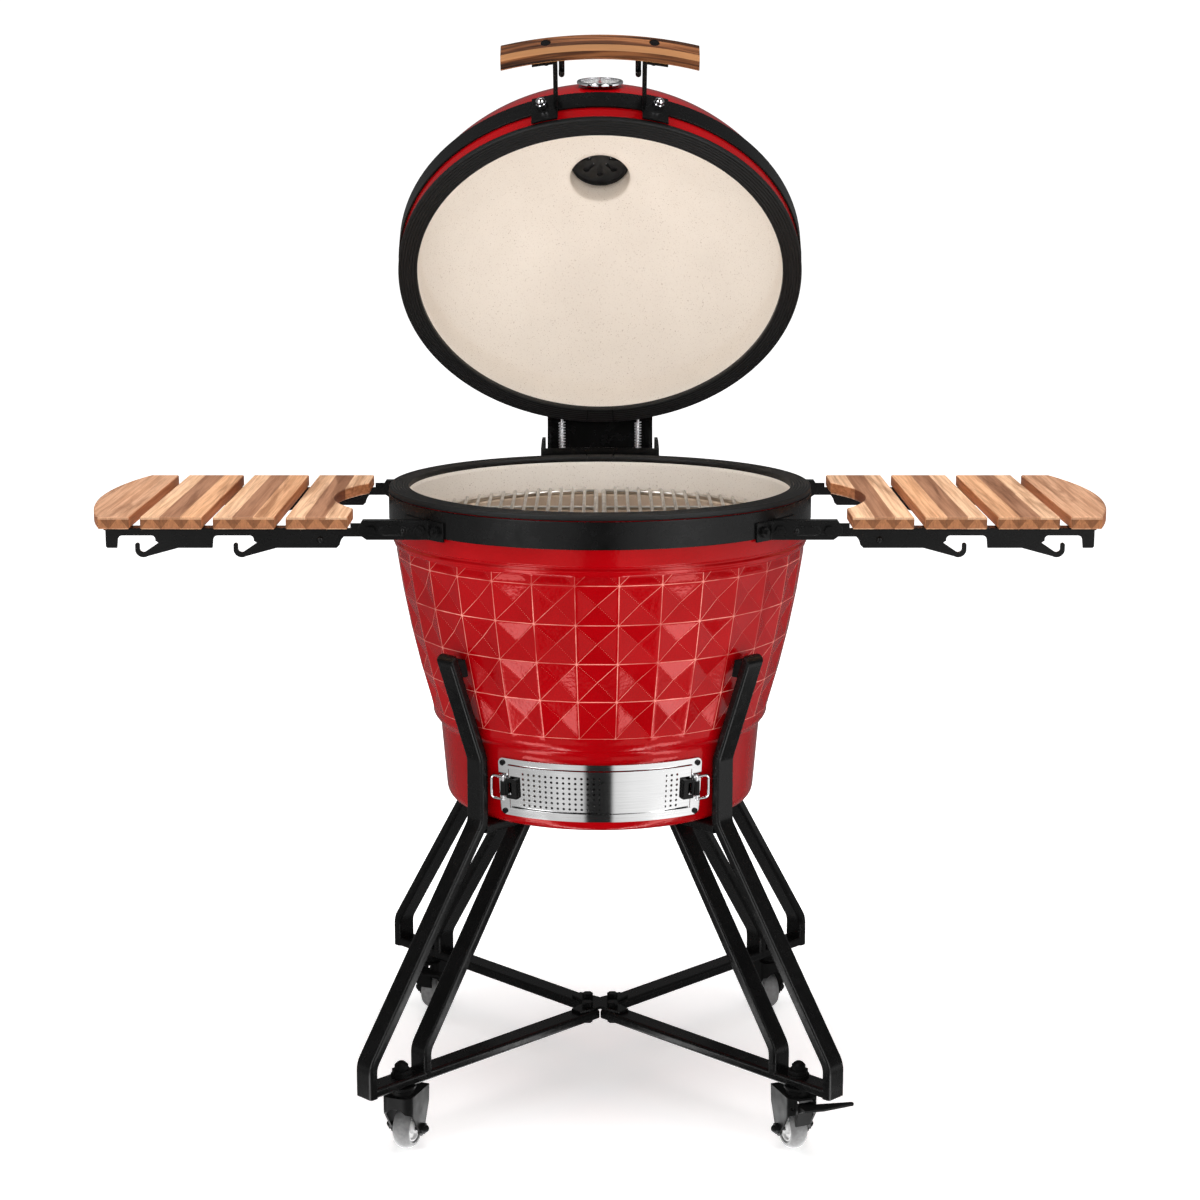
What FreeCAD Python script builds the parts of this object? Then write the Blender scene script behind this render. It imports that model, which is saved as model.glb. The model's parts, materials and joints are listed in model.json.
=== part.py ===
import FreeCAD, Part
import math
import os
from FreeCAD import Placement, Rotation, Vector

# Kamado charcoal grill on a four-caster stand, lid open, with two folding side shelves.
# Millimetres. +Z is up, the front faces -Y, and the origin is on the floor under the bowl's axis.
# Lid pieces are modelled closed and then turned open together about the hinge pin.

SIZES = [
    # alias, value, meaning
    ("rim_height", 895, "top of the base gasket above the floor"),
    ("rim_radius", 300, "outside of the steel bands"),
    ("ceramic_radius", 297, "outside of the ceramic under the bands"),
    ("mouth_radius", 271, "inside of the ceramic at the rim"),
    ("gasket_thickness", 8, "felt gasket, base and lid"),
    ("gasket_edge", 3, "rounding of the gasket's outer edge"),
    ("gasket_gap", 0.3, "gap between the two gaskets with the lid shut"),
    ("wall", 27, "ceramic wall"),
    ("base_bottom", 442, "underside of the bowl"),
    ("base_floor", 470, "inside floor of the bowl"),
    ("base_band_bottom", 849, "lower edge of the base band"),
    ("base_band_top", 886, "upper edge of the base band"),
    ("lid_band_bottom", 925, "lower edge of the lid band, lid shut"),
    ("lid_band_top", 956, "upper edge of the lid band, lid shut"),
    ("lid_top", 1153, "top of the dome beside the chimney, lid shut"),
    ("chimney_top", 1168, "top of the chimney neck, lid shut"),
    ("chimney_radius", 46, "bore of the chimney"),
    ("neck_radius", 66, "outside of the chimney neck"),
    ("band_thickness", 3, "rolled steel band"),
    ("lid_angle", 51.5, "degrees the lid stands open"),
    ("pin_back", 382.6, "hinge pin behind the axis"),
    ("pin_height", 822, "hinge pin above the floor"),
    ("pin_radius", 5, "hinge pin"),
    ("running_gap", 0.08, "radial clearance of every turning pair"),
    ("cheek_half", 83, "outer face of the lid bracket's cheeks"),
    ("ear_half", 91, "outer face of the base bracket's ears"),
    ("plate", 4, "thick sheet metal"),
    ("sheet", 1.5, "thin sheet metal"),
    ("tube_width", 32, "rectangular stand tube, across"),
    ("tube_depth", 14, "rectangular stand tube, thickness"),
    ("tube_wall", 2, "wall of the stand tube"),
    ("tube_corner", 4, "rounding of the stand tube's corners"),
    ("cross_height", 98, "underside of the lower cross bars"),
    ("caster_offset", 273, "caster stem from the axis, in X and in Y"),
    ("wheel_radius", 30, "caster wheel"),
    ("wheel_width", 24, "caster wheel"),
    ("caster_trail", 18, "axle behind the stem"),
    ("axle_radius", 4, "caster axle"),
    ("stem_radius", 6, "caster stem"),
    ("slat_top", 877, "top face of the shelves"),
    ("slat_thickness", 17, "wooden slat"),
    ("slat_length", 398, "wooden slat, front to back"),
    ("slat_width", 83, "wooden slat"),
    ("slat_gap", 15, "gap between slats"),
    ("slat_edge", 2.5, "rounding of the slat edges"),
    ("shelf_inner", 340, "inner edge of the first slat from the axis"),
    ("shelf_outer", 709, "outermost point of the shelf"),
    ("notch_radius", 213, "curve cut in the first slat to clear the bowl"),
    ("notch_depth", 37, "depth of that cut"),
    ("shelf_pivot", 309, "shelf pivot from the axis"),
    ("pivot_height", 857.5, "shelf pivot above the floor"),
    ("arm_offset", 187.5, "middle of a shelf arm from the axis, in Y"),
    ("arm_thickness", 4, "shelf arm plate"),
    ("grate_height", 844, "middle of the grate's rim rod"),
    ("grate_radius", 251, "cooking grate rim rod"),
    ("rod_radius", 2.5, "cooking grate bars"),
    ("rod_pitch", 17.4, "spacing of the cooking grate bars"),
    ("handle_reach", 389, "middle of the handle bar in front of the axis, lid shut"),
    ("handle_curve", 500, "curve of the handle bar"),
    ("handle_half", 137, "half the length of the handle bar"),
    ("handle_depth", 25, "handle bar, outward"),
    ("handle_height", 34, "handle bar, upward"),
    ("handle_bevel", 6, "bevel on the handle bar"),
    ("damper_pitch", 2.12, "degrees between columns of holes in the draft screen"),
    ("hole_radius", 1.8, "holes in the draft screen"),
]

doc = FreeCAD.newDocument("kamado_grill")
sheet = doc.addObject("Spreadsheet::Sheet", "Sizes")
for row, (alias, value, meaning) in enumerate(SIZES, start=1):
    sheet.set("A%d" % row, alias)
    sheet.set("B%d" % row, str(value))
    sheet.set("C%d" % row, meaning)
    sheet.setAlias("B%d" % row, alias)
doc.recompute()

UP = Vector(0, 0, 1)
RIGHT = Vector(1, 0, 0)
BACK = Vector(0, 1, 0)
nodes = []


def size(alias):
    """A driving dimension, read from the sheet."""
    return float(getattr(sheet, alias))


def bind(thing, **expressions):
    """Ties properties of a document object to expressions on the sheet."""
    for name, expression in expressions.items():
        thing.setExpression(name, expression)
    return thing


def node(thing, label):
    """Marks a document object as one named sub-part of the grill."""
    thing.Label = label
    nodes.append(thing)
    return thing


def feature(label, shape, placement=None):
    """A sub-part whose shape is built in code from the sheet's sizes."""
    thing = doc.addObject("Part::Feature", label)
    thing.Shape = shape
    thing.Placement = placement or Placement()
    return node(thing, label)


def cylinder(name, radius, height, at=Vector(0, 0, 0), turn=Rotation()):
    """Part::Cylinder with its radius and height given as expressions."""
    thing = doc.addObject("Part::Cylinder", name)
    bind(thing, Radius=radius, Height=height)
    thing.Placement = Placement(at, turn)
    return thing


def box(name, length, width, height, at):
    """Part::Box with its three sizes given as expressions."""
    thing = doc.addObject("Part::Box", name)
    bind(thing, Length=length, Width=width, Height=height)
    thing.Placement = Placement(at, Rotation())
    return thing


def cut(name, base, tool):
    thing = doc.addObject("Part::Cut", name)
    thing.Base = base
    thing.Tool = tool
    return thing


def fuse(name, parts):
    thing = doc.addObject("Part::MultiFuse", name)
    thing.Shapes = parts
    return thing


def ring(name, outer, inner, height, bottom):
    """A flat ring standing on the given level, all sizes as expressions."""
    at = Vector(0, 0, bottom)
    disc = cylinder(name + "_disc", outer, height, at)
    bore = cylinder(name + "_bore", inner, height, at)
    return cut(name + "_ring", disc, bore)


def upright(x, z):
    return Vector(x, 0, z)


def sideways(y, z):
    return Vector(0, y, z)


def flat(x, y):
    return Vector(x, y, 0)


def outline(steps, place=upright):
    """A closed face. A step is a corner, or a (middle, end) pair of points for an arc."""
    edges = []
    here = steps[0]
    for step in steps[1:] + steps[:1]:
        if isinstance(step[0], tuple):
            middle, end = step
            edges.append(Part.Arc(place(*here), place(*middle), place(*end)).toShape())
        else:
            end = step
            if end != here:
                edges.append(Part.makeLine(place(*here), place(*end)))
        here = end
    return Part.Face(Part.Wire(edges))


def spun(face):
    """The face in the XZ plane turned once round the Z axis."""
    return face.revolve(Vector(0, 0, 0), UP, 360)


def swept(face, first, last):
    """The face turned round Z between two angles in degrees: 0 is the front, positive is to the right."""
    start = face.copy()
    start.rotate(Vector(0, 0, 0), UP, first - 90)
    return start.revolve(Vector(0, 0, 0), UP, last - first)


def slab(face, start, thickness, direction):
    """The face pushed along a direction, beginning at a distance from its own plane."""
    moved = face.copy()
    moved.translate(direction * start)
    return moved.extrude(direction * thickness)


def block(x_range, y_range, z_range):
    """An axis-aligned box from three (low, high) pairs."""
    low = Vector(x_range[0], y_range[0], z_range[0])
    high = Vector(x_range[1], y_range[1], z_range[1])
    span = high - low
    return Part.makeBox(span.x, span.y, span.z, low)


def rod(start, end, radius):
    """A round bar between two points."""
    along = end - start
    return Part.makeCylinder(radius, along.Length, start, along)


def hexagon(across, height, at, axis):
    """A hexagonal head or nut, standing on the point along the axis."""
    corner = across / math.sqrt(3)
    points = [
        Vector(corner * math.cos(math.radians(a)), corner * math.sin(math.radians(a)), 0)
        for a in range(0, 361, 60)
    ]
    prism = Part.Face(Part.makePolygon(points)).extrude(UP * height)
    prism.Placement = Placement(at, Rotation(UP, axis))
    return prism


def dome(radius, height, at, axis):
    """A rounded cap: a short cylinder closed by half a ball squashed to fit."""
    cap = Part.makeCylinder(radius, height - radius * 0.6)
    ball = Part.makeSphere(radius)
    ball.translate(UP * (height - radius))
    rounded = cap.fuse(ball.common(Part.makeCylinder(radius, height))).removeSplitter()
    rounded.Placement = Placement(at, Rotation(UP, axis))
    return rounded


def bolt(radius, length, at, axis, head=1.7, head_height=0.9):
    """A hexagon-head bolt: the head stands on the point, the shank runs back along the axis."""
    shank = rod(at, at - axis * length, radius)
    return shank.fuse(hexagon(radius * 2 * head, radius * 2 * head_height, at, axis)).removeSplitter()


def rounded_path(points, radius):
    """A wire through the points with each corner rounded to the radius."""
    edges = []
    here = points[0]
    for before, corner, after in zip(points, points[1:], points[2:]):
        back = (before - corner).normalize()
        ahead = (after - corner).normalize()
        half = back.getAngle(ahead) / 2
        trim = radius / math.tan(half)
        start = corner + back * trim
        end = corner + ahead * trim
        middle = corner + (back + ahead).normalize() * (radius / math.sin(half) - radius)
        edges.append(Part.makeLine(here, start))
        edges.append(Part.Arc(start, middle, end).toShape())
        here = end
    edges.append(Part.makeLine(here, points[-1]))
    return Part.Wire(edges)


def wire_bar(points, bend, radius):
    """Round wire bent along the points."""
    path = rounded_path(points, bend)
    direction = points[1] - points[0]
    section = Part.Wire(Part.makeCircle(radius, points[0], direction))
    return path.makePipeShell([section], True, False)


def flat_bar(points, bend, across, width, depth, corner):
    """Bar with rounded corners bent along the points; width is measured along the across direction."""
    path = rounded_path(points, bend)
    direction = (points[1] - points[0]).normalize()
    side = direction.cross(across).normalize()
    start = points[0] + side * (depth / 2)
    ends = [
        points[0] + across * (a * width / 2) + side * (b * depth / 2)
        for a, b in ((1, 1), (1, -1), (-1, -1), (-1, 1))
    ]
    section = rounded_path([start] + ends + [start], corner)
    return path.makePipeShell([section], True, False)


def coil(radius, wire_radius, pitch, turns, at, axis):
    """A coil spring starting at the point and running along the axis."""
    helix = Part.makeHelix(pitch, pitch * turns, radius)
    section = Part.Wire(Part.makeCircle(wire_radius, Vector(radius, 0, 0), BACK))
    spring = Part.Wire(helix.Edges).makePipeShell([section], True, True)
    spring.Placement = Placement(at, Rotation(UP, axis))
    return spring


def mirror_left_right(shape):
    return shape.mirror(Vector(0, 0, 0), RIGHT)


def both_sides(shape):
    """The shape and its mirror image across the grill, as separate solids."""
    return Part.makeCompound([shape, mirror_left_right(shape)])


def padded(label, edges, length, bottom, rounding=None):
    """A PartDesign body: one closed sketch on the XY plane, padded up, with its top edges rounded."""
    body = doc.addObject("PartDesign::Body", label)
    sketch = body.newObject("Sketcher::SketchObject", label + "_outline")
    plane = [p for p in body.Origin.OriginFeatures if getattr(p, "Role", "") == "XY_Plane"]
    sketch.AttachmentSupport = (plane[0], [""])
    sketch.MapMode = "FlatFace"
    for edge in edges:
        sketch.addGeometry(edge, False)
    pad = body.newObject("PartDesign::Pad", label + "_pad")
    pad.Profile = sketch
    bind(pad, Length=length)
    body.Tip = pad
    doc.recompute()
    if rounding:
        soft = body.newObject("PartDesign::Fillet", label + "_edges")
        soft.Base = (pad, ["Face%d" % (len(edges) + 1), "Face%d" % (len(edges) + 2)])
        bind(soft, Radius=rounding)
        body.Tip = soft
    body.Placement = Placement(Vector(0, 0, bottom), Rotation())
    doc.recompute()
    return body


def loop(points):
    """Straight sketch edges round a list of (x, y) corners."""
    closed = points + points[:1]
    return [Part.LineSegment(flat(*a), flat(*b)) for a, b in zip(closed, closed[1:])]


# ---------------------------------------------------------------- the bowl

# Height and radius at both ends of the plain lower wall: it leans slightly outward going up.
WALL_LOW = (458, 222)
WALL_HIGH = (548, 229.5)


def lower_wall(z):
    """Outside radius of the plain lower wall at a height."""
    share = (z - WALL_LOW[0]) / (WALL_HIGH[0] - WALL_LOW[0])
    return WALL_LOW[1] + (WALL_HIGH[1] - WALL_LOW[1]) * share


DOOR_BOTTOM, DOOR_TOP = 458, 540
DOOR_HALF_ANGLE = 37.5
DOORWAY_HALF = 106
WINDOW_BOTTOM, WINDOW_TOP = 464, 532
WINDOW_HALF_ANGLE = 33.4


def base_shell():
    top = size("rim_height") - size("gasket_thickness")
    outer = size("ceramic_radius")
    inner = size("mouth_radius")
    bottom = size("base_bottom")
    floor = size("base_floor")
    profile = outline([
        (0, bottom), (208, bottom), ((218, 447), (lower_wall(458), 458)),
        (lower_wall(548), 548), (234, 558), (234, 562), (239, 567),
        ((271, 689), (292, 812)), (294, 815), (294, 822), (outer, 826),
        (outer, top), (inner, top), (inner, 830), (268, 812),
        ((246, 689), (212, 566)), ((203, 510), (190, floor)), (0, floor),
    ])
    shell = spun(profile)
    doorway = block((-DOORWAY_HALF, DOORWAY_HALF), (-260, -120), (floor, 528))
    return shell.cut(doorway)


def fire_box():
    """Ceramic cup for the charcoal: open below, with a ledge for the charcoal grate and air holes."""
    floor = size("base_floor")
    cup = spun(outline([
        (150, floor), (178, floor), (238, 700), (212, 700), (160, 566), (160, 556), (150, 556),
    ]))
    drawer_room = block((-84, 84), (-260, -80), (floor, 514))
    cup = cup.cut(drawer_room)
    air_level, air_radius = 600, 9
    for angle in range(30, 360, 60):
        outward = Rotation(UP, angle).multVec(RIGHT)
        start, end = outward * 120 + UP * air_level, outward * 260 + UP * air_level
        cup = cup.cut(rod(start, end, air_radius))
    return cup


def fire_ring():
    """Ceramic ring on the fire box that carries the cooking grate."""
    return spun(outline([(214, 700), (240, 700), (262, 840), (236, 840)]))


def make_bowl():
    feature("base_shell", base_shell())
    feature("fire_box", fire_box())
    feature("fire_ring", fire_ring())
    gasket = ring("base_gasket", "Sizes.rim_radius - 1", "Sizes.mouth_radius",
                  "Sizes.gasket_thickness", size("rim_height") - size("gasket_thickness"))
    doc.recompute()
    node(round_outer_edge(gasket, "base_gasket_soft", size("rim_height")), "base_gasket")
    band = ring("base_band", "Sizes.rim_radius", "Sizes.ceramic_radius",
                "Sizes.base_band_top - Sizes.base_band_bottom", size("base_band_bottom"))
    slot = box("base_band_slot", "6", "20", "60", Vector(-3, 290, 840))
    node(cut("base_band_split", band, slot), "base_band")


def round_outer_edge(base, name, level):
    """Rounds the outer circle of a ring at the given level."""
    soft = doc.addObject("Part::Fillet", name)
    soft.Base = base
    radius = size("gasket_edge")
    wanted = []
    for index, edge in enumerate(base.Shape.Edges, start=1):
        curve = edge.Curve
        if isinstance(curve, Part.Circle) and curve.Radius > 290 and abs(curve.Center.z - level) < 0.01:
            wanted.append((index, radius, radius))
    soft.Edges = wanted
    return soft


def make_charcoal_grate():
    """Slotted iron plate on the ledge inside the fire box."""
    disc = cylinder("charcoal_disc", "157", "10", Vector(0, 0, 556))
    doc.recompute()
    slotted_radius, pitch, half_slot, half_web = 140, 24, 6, 12
    slots = []
    for k in range(-5, 6):
        x = k * pitch
        reach = math.sqrt(slotted_radius ** 2 - x ** 2)
        for y_range in ((-reach, -half_web), (half_web, reach)):
            slots.append(block((x - half_slot, x + half_slot), y_range, (550, 570)))
    tool = doc.addObject("Part::Feature", "charcoal_slots")
    tool.Shape = Part.makeCompound(slots)
    node(cut("charcoal_plate", disc, tool), "charcoal_grate")


def half_grate():
    """Right-hand half of the cooking grate: a bent rim rod with bars welded on top."""
    level = size("grate_height")
    radius = size("grate_radius")
    rim = 3.5
    edge = 6
    start = math.degrees(math.asin(edge / radius))
    arc_face = Part.Face(Part.Wire(Part.makeCircle(rim, Vector(radius, 0, level), BACK)))
    solid = swept(arc_face, start, 180 - start)
    reach = math.sqrt(radius ** 2 - edge ** 2)
    solid = solid.fuse(rod(Vector(edge, -reach, level), Vector(edge, reach, level), rim))
    bar = size("rod_radius")
    top = level + rim + bar - 1
    bars = []
    for k in range(1, 14):
        x = edge + k * size("rod_pitch")
        half = math.sqrt(radius ** 2 - x ** 2)
        bars.append(rod(Vector(x, -half, top), Vector(x, half, top), bar))
    braces = []
    for y in (-90, 90):
        x_end = math.sqrt(radius ** 2 - y ** 2)
        braces.append(rod(Vector(edge, y, level), Vector(x_end, y, level), bar + 0.5))
    return solid.multiFuse(bars + braces).removeSplitter()


def make_cooking_grates():
    right_half = half_grate()
    feature("cooking_grate_right", right_half)
    feature("cooking_grate_left", mirror_left_right(right_half))


# ---------------------------------------------------------------- draft door and ash drawer

def wall_normal(outward):
    """The outward direction square to the leaning wall, from the level direction."""
    lean = math.atan2(WALL_HIGH[1] - WALL_LOW[1], WALL_HIGH[0] - WALL_LOW[0])
    return outward * math.cos(lean) - UP * math.sin(lean)


def wall_strip(bottom, top, inside, outside, first, last):
    """A strip following the lower wall, between two offsets from it and two angles."""
    face = outline([
        (lower_wall(bottom) + inside, bottom), (lower_wall(bottom) + outside, bottom),
        (lower_wall(top) + outside, top), (lower_wall(top) + inside, top),
    ])
    return swept(face, first, last)


def wall_point(angle, z, offset=0):
    """Point on the lower wall at an angle from the front, and the outward direction there."""
    outward = Vector(math.sin(math.radians(angle)), -math.cos(math.radians(angle)), 0)
    return outward * (lower_wall(z) + offset) + UP * z, outward


def rounded_corners(shape, radius, first, last, bottom, top):
    """Rounds the four corners of a curved plate seen from the front."""
    found = []
    for edge in shape.Edges:
        middle = edge.CenterOfMass
        angle = math.degrees(math.atan2(middle.x, -middle.y))
        at_end = min(abs(angle - first), abs(angle - last)) < 0.5
        at_level = min(abs(middle.z - bottom), abs(middle.z - top)) < 0.5
        if at_end and at_level and edge.Length < 12:
            found.append(edge)
    return shape.makeFillet(radius, found) if len(found) == 4 else shape


FRAME_THICKNESS = 2.5
SCREW_ANGLE = 35.6
SCREW_LEVELS = (463, 533)


def draft_frame():
    """Steel frame screwed to the bowl round the ash door."""
    half = DOOR_HALF_ANGLE
    plate = wall_strip(DOOR_BOTTOM, DOOR_TOP, 0, FRAME_THICKNESS, -half, half)
    plate = rounded_corners(plate, 9, -half, half, DOOR_BOTTOM, DOOR_TOP)
    window = wall_strip(WINDOW_BOTTOM, WINDOW_TOP, -2, 6, -WINDOW_HALF_ANGLE, WINDOW_HALF_ANGLE)
    return plate.cut(window)


def draft_frame_screws():
    screws = []
    for angle in (-SCREW_ANGLE, SCREW_ANGLE):
        for level in SCREW_LEVELS:
            seat, outward = wall_point(angle, level, FRAME_THICKNESS + 0.1)
            axis = wall_normal(outward)
            head = Part.makeCylinder(4, 1.6, seat, axis)
            head = head.cut(hexagon(3.4, 1.2, seat + axis * 0.6, axis))
            screws.append(head)
    return Part.makeCompound(screws)


PANEL_HALF_ANGLE = 33.2
PANEL_BOTTOM, PANEL_TOP = 465, 531
RAIL_HEIGHT = 5


def draft_screen():
    """Perforated front of the ash drawer, with a rail along the top and bottom for the damper."""
    half = PANEL_HALF_ANGLE
    panel = wall_strip(PANEL_BOTTOM, PANEL_TOP, 0.5, 2, -half, half)
    holes = []
    columns, rows, row_pitch = 13, 3, 7.4
    middle = (PANEL_BOTTOM + PANEL_TOP) / 2
    for column in range(-columns, columns + 1):
        for row in range(-rows, rows + 1):
            seat, outward = wall_point(column * size("damper_pitch"), middle + row * row_pitch, -3)
            holes.append(Part.makeCylinder(size("hole_radius"), 9, seat, outward))
    panel = panel.cut(Part.makeCompound(holes))
    rails = [
        wall_strip(PANEL_BOTTOM, PANEL_BOTTOM + 2, 1.5, 5.5, -half, half),
        wall_strip(PANEL_BOTTOM, PANEL_BOTTOM + RAIL_HEIGHT, 4.5, 5.5, -half, half),
        wall_strip(PANEL_TOP - 2, PANEL_TOP, 1.5, 5.5, -half, half),
        wall_strip(PANEL_TOP - RAIL_HEIGHT, PANEL_TOP, 4.5, 5.5, -half, half),
    ]
    return panel.multiFuse(rails)


def ash_drawer():
    """Open steel pan behind the screen."""
    wall = size("sheet")
    half_width, back, floor, rim = 78, 30, 471, 506
    reach = lower_wall(PANEL_BOTTOM) + 0.5
    pan = block((-half_width, half_width), (-reach, back), (floor, rim))
    room = block((-half_width + wall, half_width - wall), (-200, back - wall), (floor + wall, rim + 1))
    inside = spun(outline([(0, floor), (reach, floor), (lower_wall(rim) + 0.5, rim), (0, rim)]))
    return pan.cut(room).common(inside)


def draft_damper():
    """Solid door that slides round the bowl between the two rails, with its pull tab."""
    plate = wall_strip(PANEL_BOTTOM + 2.5, PANEL_TOP - 2.5, 2.2, 3.7, 0, 23)
    tab = wall_strip(482, 515, 3.7, 10, 0, 1.4)
    return Part.makeCompound([plate, tab])


PULL_ANGLE = 34.8       # degrees from the front to the barrel
PULL_LEVEL = 498
PULL_OFFSET = 8.4       # middle of the barrel, out from the wall
PULL_WIRE = 2
PULL_REACH = 20
PULL_HALF_HEIGHT = 16


def pull_bracket():
    """Right-hand clip on the drawer front: a foot, an arm over the frame and a barrel for the pull."""
    low, high = PULL_LEVEL - 14, PULL_LEVEL + 14
    sheet_inside, sheet_outside = PULL_OFFSET - 2, PULL_OFFSET
    foot = wall_strip(low, high, 2, sheet_outside, 29.6, 31.2)
    arm = wall_strip(low, high, sheet_inside, sheet_outside, 29.6, 33.6)
    seat, outward = wall_point(PULL_ANGLE, PULL_LEVEL, PULL_OFFSET)
    barrel = rod(seat - UP * 10, seat + UP * 10, 4)
    neck = wall_strip(PULL_LEVEL - 10, PULL_LEVEL + 10, sheet_inside, sheet_outside, 33, PULL_ANGLE)
    bore = rod(seat - UP * 20, seat + UP * 20, PULL_WIRE + size("running_gap"))
    window = wall_strip(PULL_LEVEL - 9, PULL_LEVEL + 9, 5, 10, 31.3, 33)
    return foot.multiFuse([arm, neck, barrel]).cut(window).cut(bore)


def drawer_pull():
    """Right-hand wire pull: a closed rectangle of round wire with one side in the barrel."""
    seat, outward = wall_point(PULL_ANGLE, PULL_LEVEL, PULL_OFFSET)
    along = UP.cross(outward)
    low, high = seat - UP * PULL_HALF_HEIGHT, seat + UP * PULL_HALF_HEIGHT
    inner = rod(low, high, PULL_WIRE)
    start = low + UP * 0.01
    end = high - UP * 0.01
    outer = wire_bar([start, low + along * PULL_REACH, high + along * PULL_REACH, end], 6, PULL_WIRE)
    knuckles = [Part.makeSphere(PULL_WIRE, low), Part.makeSphere(PULL_WIRE, high)]
    return inner.multiFuse([outer] + knuckles)


def make_draft_door():
    feature("draft_frame", draft_frame())
    feature("draft_frame_screws", draft_frame_screws())
    feature("draft_screen", draft_screen())
    feature("ash_drawer", ash_drawer())
    feature("draft_damper", draft_damper())
    feature("drawer_pull_brackets", both_sides(pull_bracket()))
    pull = drawer_pull()
    feature("drawer_pull_right", pull)
    feature("drawer_pull_left", mirror_left_right(pull))


# ---------------------------------------------------------------- stand

HUB_BOLT = 26           # distance of the four hub bolts from the axis
HUB_BOLT_RADIUS = 4
STAR_TIP = 50
STAR_WAIST = 20
STAR_BLUNT = 9          # half width of each tip
LEG_BEND = 30           # centre-line radius of the bends in the tubes
FIRST_CAP = 12          # solid plug in the rounded upper end of a leg

# Outer face of a leg's long tube, as distance from the axis and height, from the top down.
LEG_TOP = (302, 686)
LEG_BENDS = ((247, 534), (247, 443), (454, 143))

# Centre line of a leg's short inner tube: reach under the bowl, reach at the foot and level of the bend.
INNER_TOP, INNER_FOOT, INNER_BEND = 157, 350, 142


def leg():
    """One welded leg in the XZ plane: a bent outer tube that hugs the bowl, an inner tube and two bars."""
    width, depth, corner = size("tube_width"), size("tube_depth"), size("tube_corner")
    foot = size("cross_height")
    top_of_cross = foot + depth
    under_bowl = size("base_bottom") - depth
    foot_reach = LEG_BENDS[-1][0] - depth / 2
    outer = [upright(x - depth / 2, z) for x, z in (LEG_TOP,) + LEG_BENDS] + [upright(foot_reach, foot)]
    foot_end = upright(INNER_FOOT, top_of_cross - corner)
    inner = [upright(INNER_TOP, under_bowl), upright(INNER_FOOT, INNER_BEND), foot_end]
    outer_tube = hollow_tube(outer, LEG_BEND, FIRST_CAP).cut(rounded_top(outer[0], outer[1]))
    ceiling = block((-50, 500), (-50, 50), (top_of_cross - corner, under_bowl + corner))
    lean = inner[1] - inner[0]
    inner_start = inner[0] - lean.normalize() * 30
    inner_tube = hollow_tube([inner_start] + inner[1:], LEG_BEND, 2).common(ceiling)
    hub = width / 2 + 1
    lower_bar = level_tube(hub, foot_reach - depth / 2 + corner, foot)
    upper_bar = level_tube(hub, LEG_BENDS[1][0] - depth + corner, under_bowl)
    welded = outer_tube.multiFuse([inner_tube, lower_bar, upper_bar])
    stem_x = size("caster_offset") * math.sqrt(2)
    for x, low, high, radius in (
        (stem_x, foot, top_of_cross, size("stem_radius")),
        (HUB_BOLT, foot, top_of_cross, HUB_BOLT_RADIUS),
        (HUB_BOLT, under_bowl, under_bowl, HUB_BOLT_RADIUS),
    ):
        welded = welded.cut(rod(upright(x, low - 5), upright(x, high + 5), radius))
    return welded


def rounded_top(top, bend):
    """The sliver taken off the outer edge of a leg's upper end to round it over."""
    radius = 11
    down = (bend - top).normalize()
    out = BACK.cross(down)
    if out.x < 0:
        out = out * -1
    tip = top + out * (size("tube_depth") / 2 + 0.01) - down * 0.01
    start, end = tip - out * radius, tip + down * radius
    middle = tip + (down - out) * radius * (1 - math.sqrt(0.5))
    edges = [Part.makeLine(tip, start), Part.Arc(start, middle, end).toShape(), Part.makeLine(end, tip)]
    return slab(Part.Face(Part.Wire(edges)), -30, 60, BACK)


def hollow_tube(points, bend, first_cap):
    """Bent stand tube with closed ends; the first end is closed to the given thickness."""
    width, depth = size("tube_width"), size("tube_depth")
    wall, corner = size("tube_wall"), size("tube_corner")
    outside = flat_bar(points, bend, BACK, width, depth, corner)
    first = (points[1] - points[0]).normalize()
    last = (points[-1] - points[-2]).normalize()
    shorter = [points[0] + first * first_cap] + points[1:-1] + [points[-1] - last * wall]
    inside = flat_bar(shorter, bend, BACK, width - 2 * wall, depth - 2 * wall, corner - wall)
    return outside.cut(inside)


def level_tube(start, end, bottom):
    """Straight level stand tube lying flat, with closed ends."""
    middle = bottom + size("tube_depth") / 2
    return hollow_tube([upright(start, middle), upright(end, middle)], LEG_BEND, size("tube_wall"))


# Lower and upper edge of a leg's rubber block, and how far its bowl side is from the axis there.
BUMPER_LEVELS = (656, 680)
BUMPER_REACHES = (265, 270.5)
BUMPER_HALF = 11


def leg_bumper():
    """Rubber block between the upper end of a leg and the bowl, in the XZ plane."""
    low, high = BUMPER_LEVELS
    lean = (LEG_TOP[0] - LEG_BENDS[0][0]) / (LEG_TOP[1] - LEG_BENDS[0][1])
    thick = size("tube_depth") * math.hypot(1, lean)
    back = [LEG_TOP[0] - (LEG_TOP[1] - z) * lean - thick for z in (low, high)]
    face = outline([(BUMPER_REACHES[0], low), (back[0], low), (back[1], high), (BUMPER_REACHES[1], high)])
    return slab(face, -BUMPER_HALF, 2 * BUMPER_HALF, BACK)


def corner_turns():
    """Leg names and their turns about Z from the X axis."""
    return (("rear_right", 45), ("rear_left", 135), ("front_left", 225), ("front_right", 315))


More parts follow.
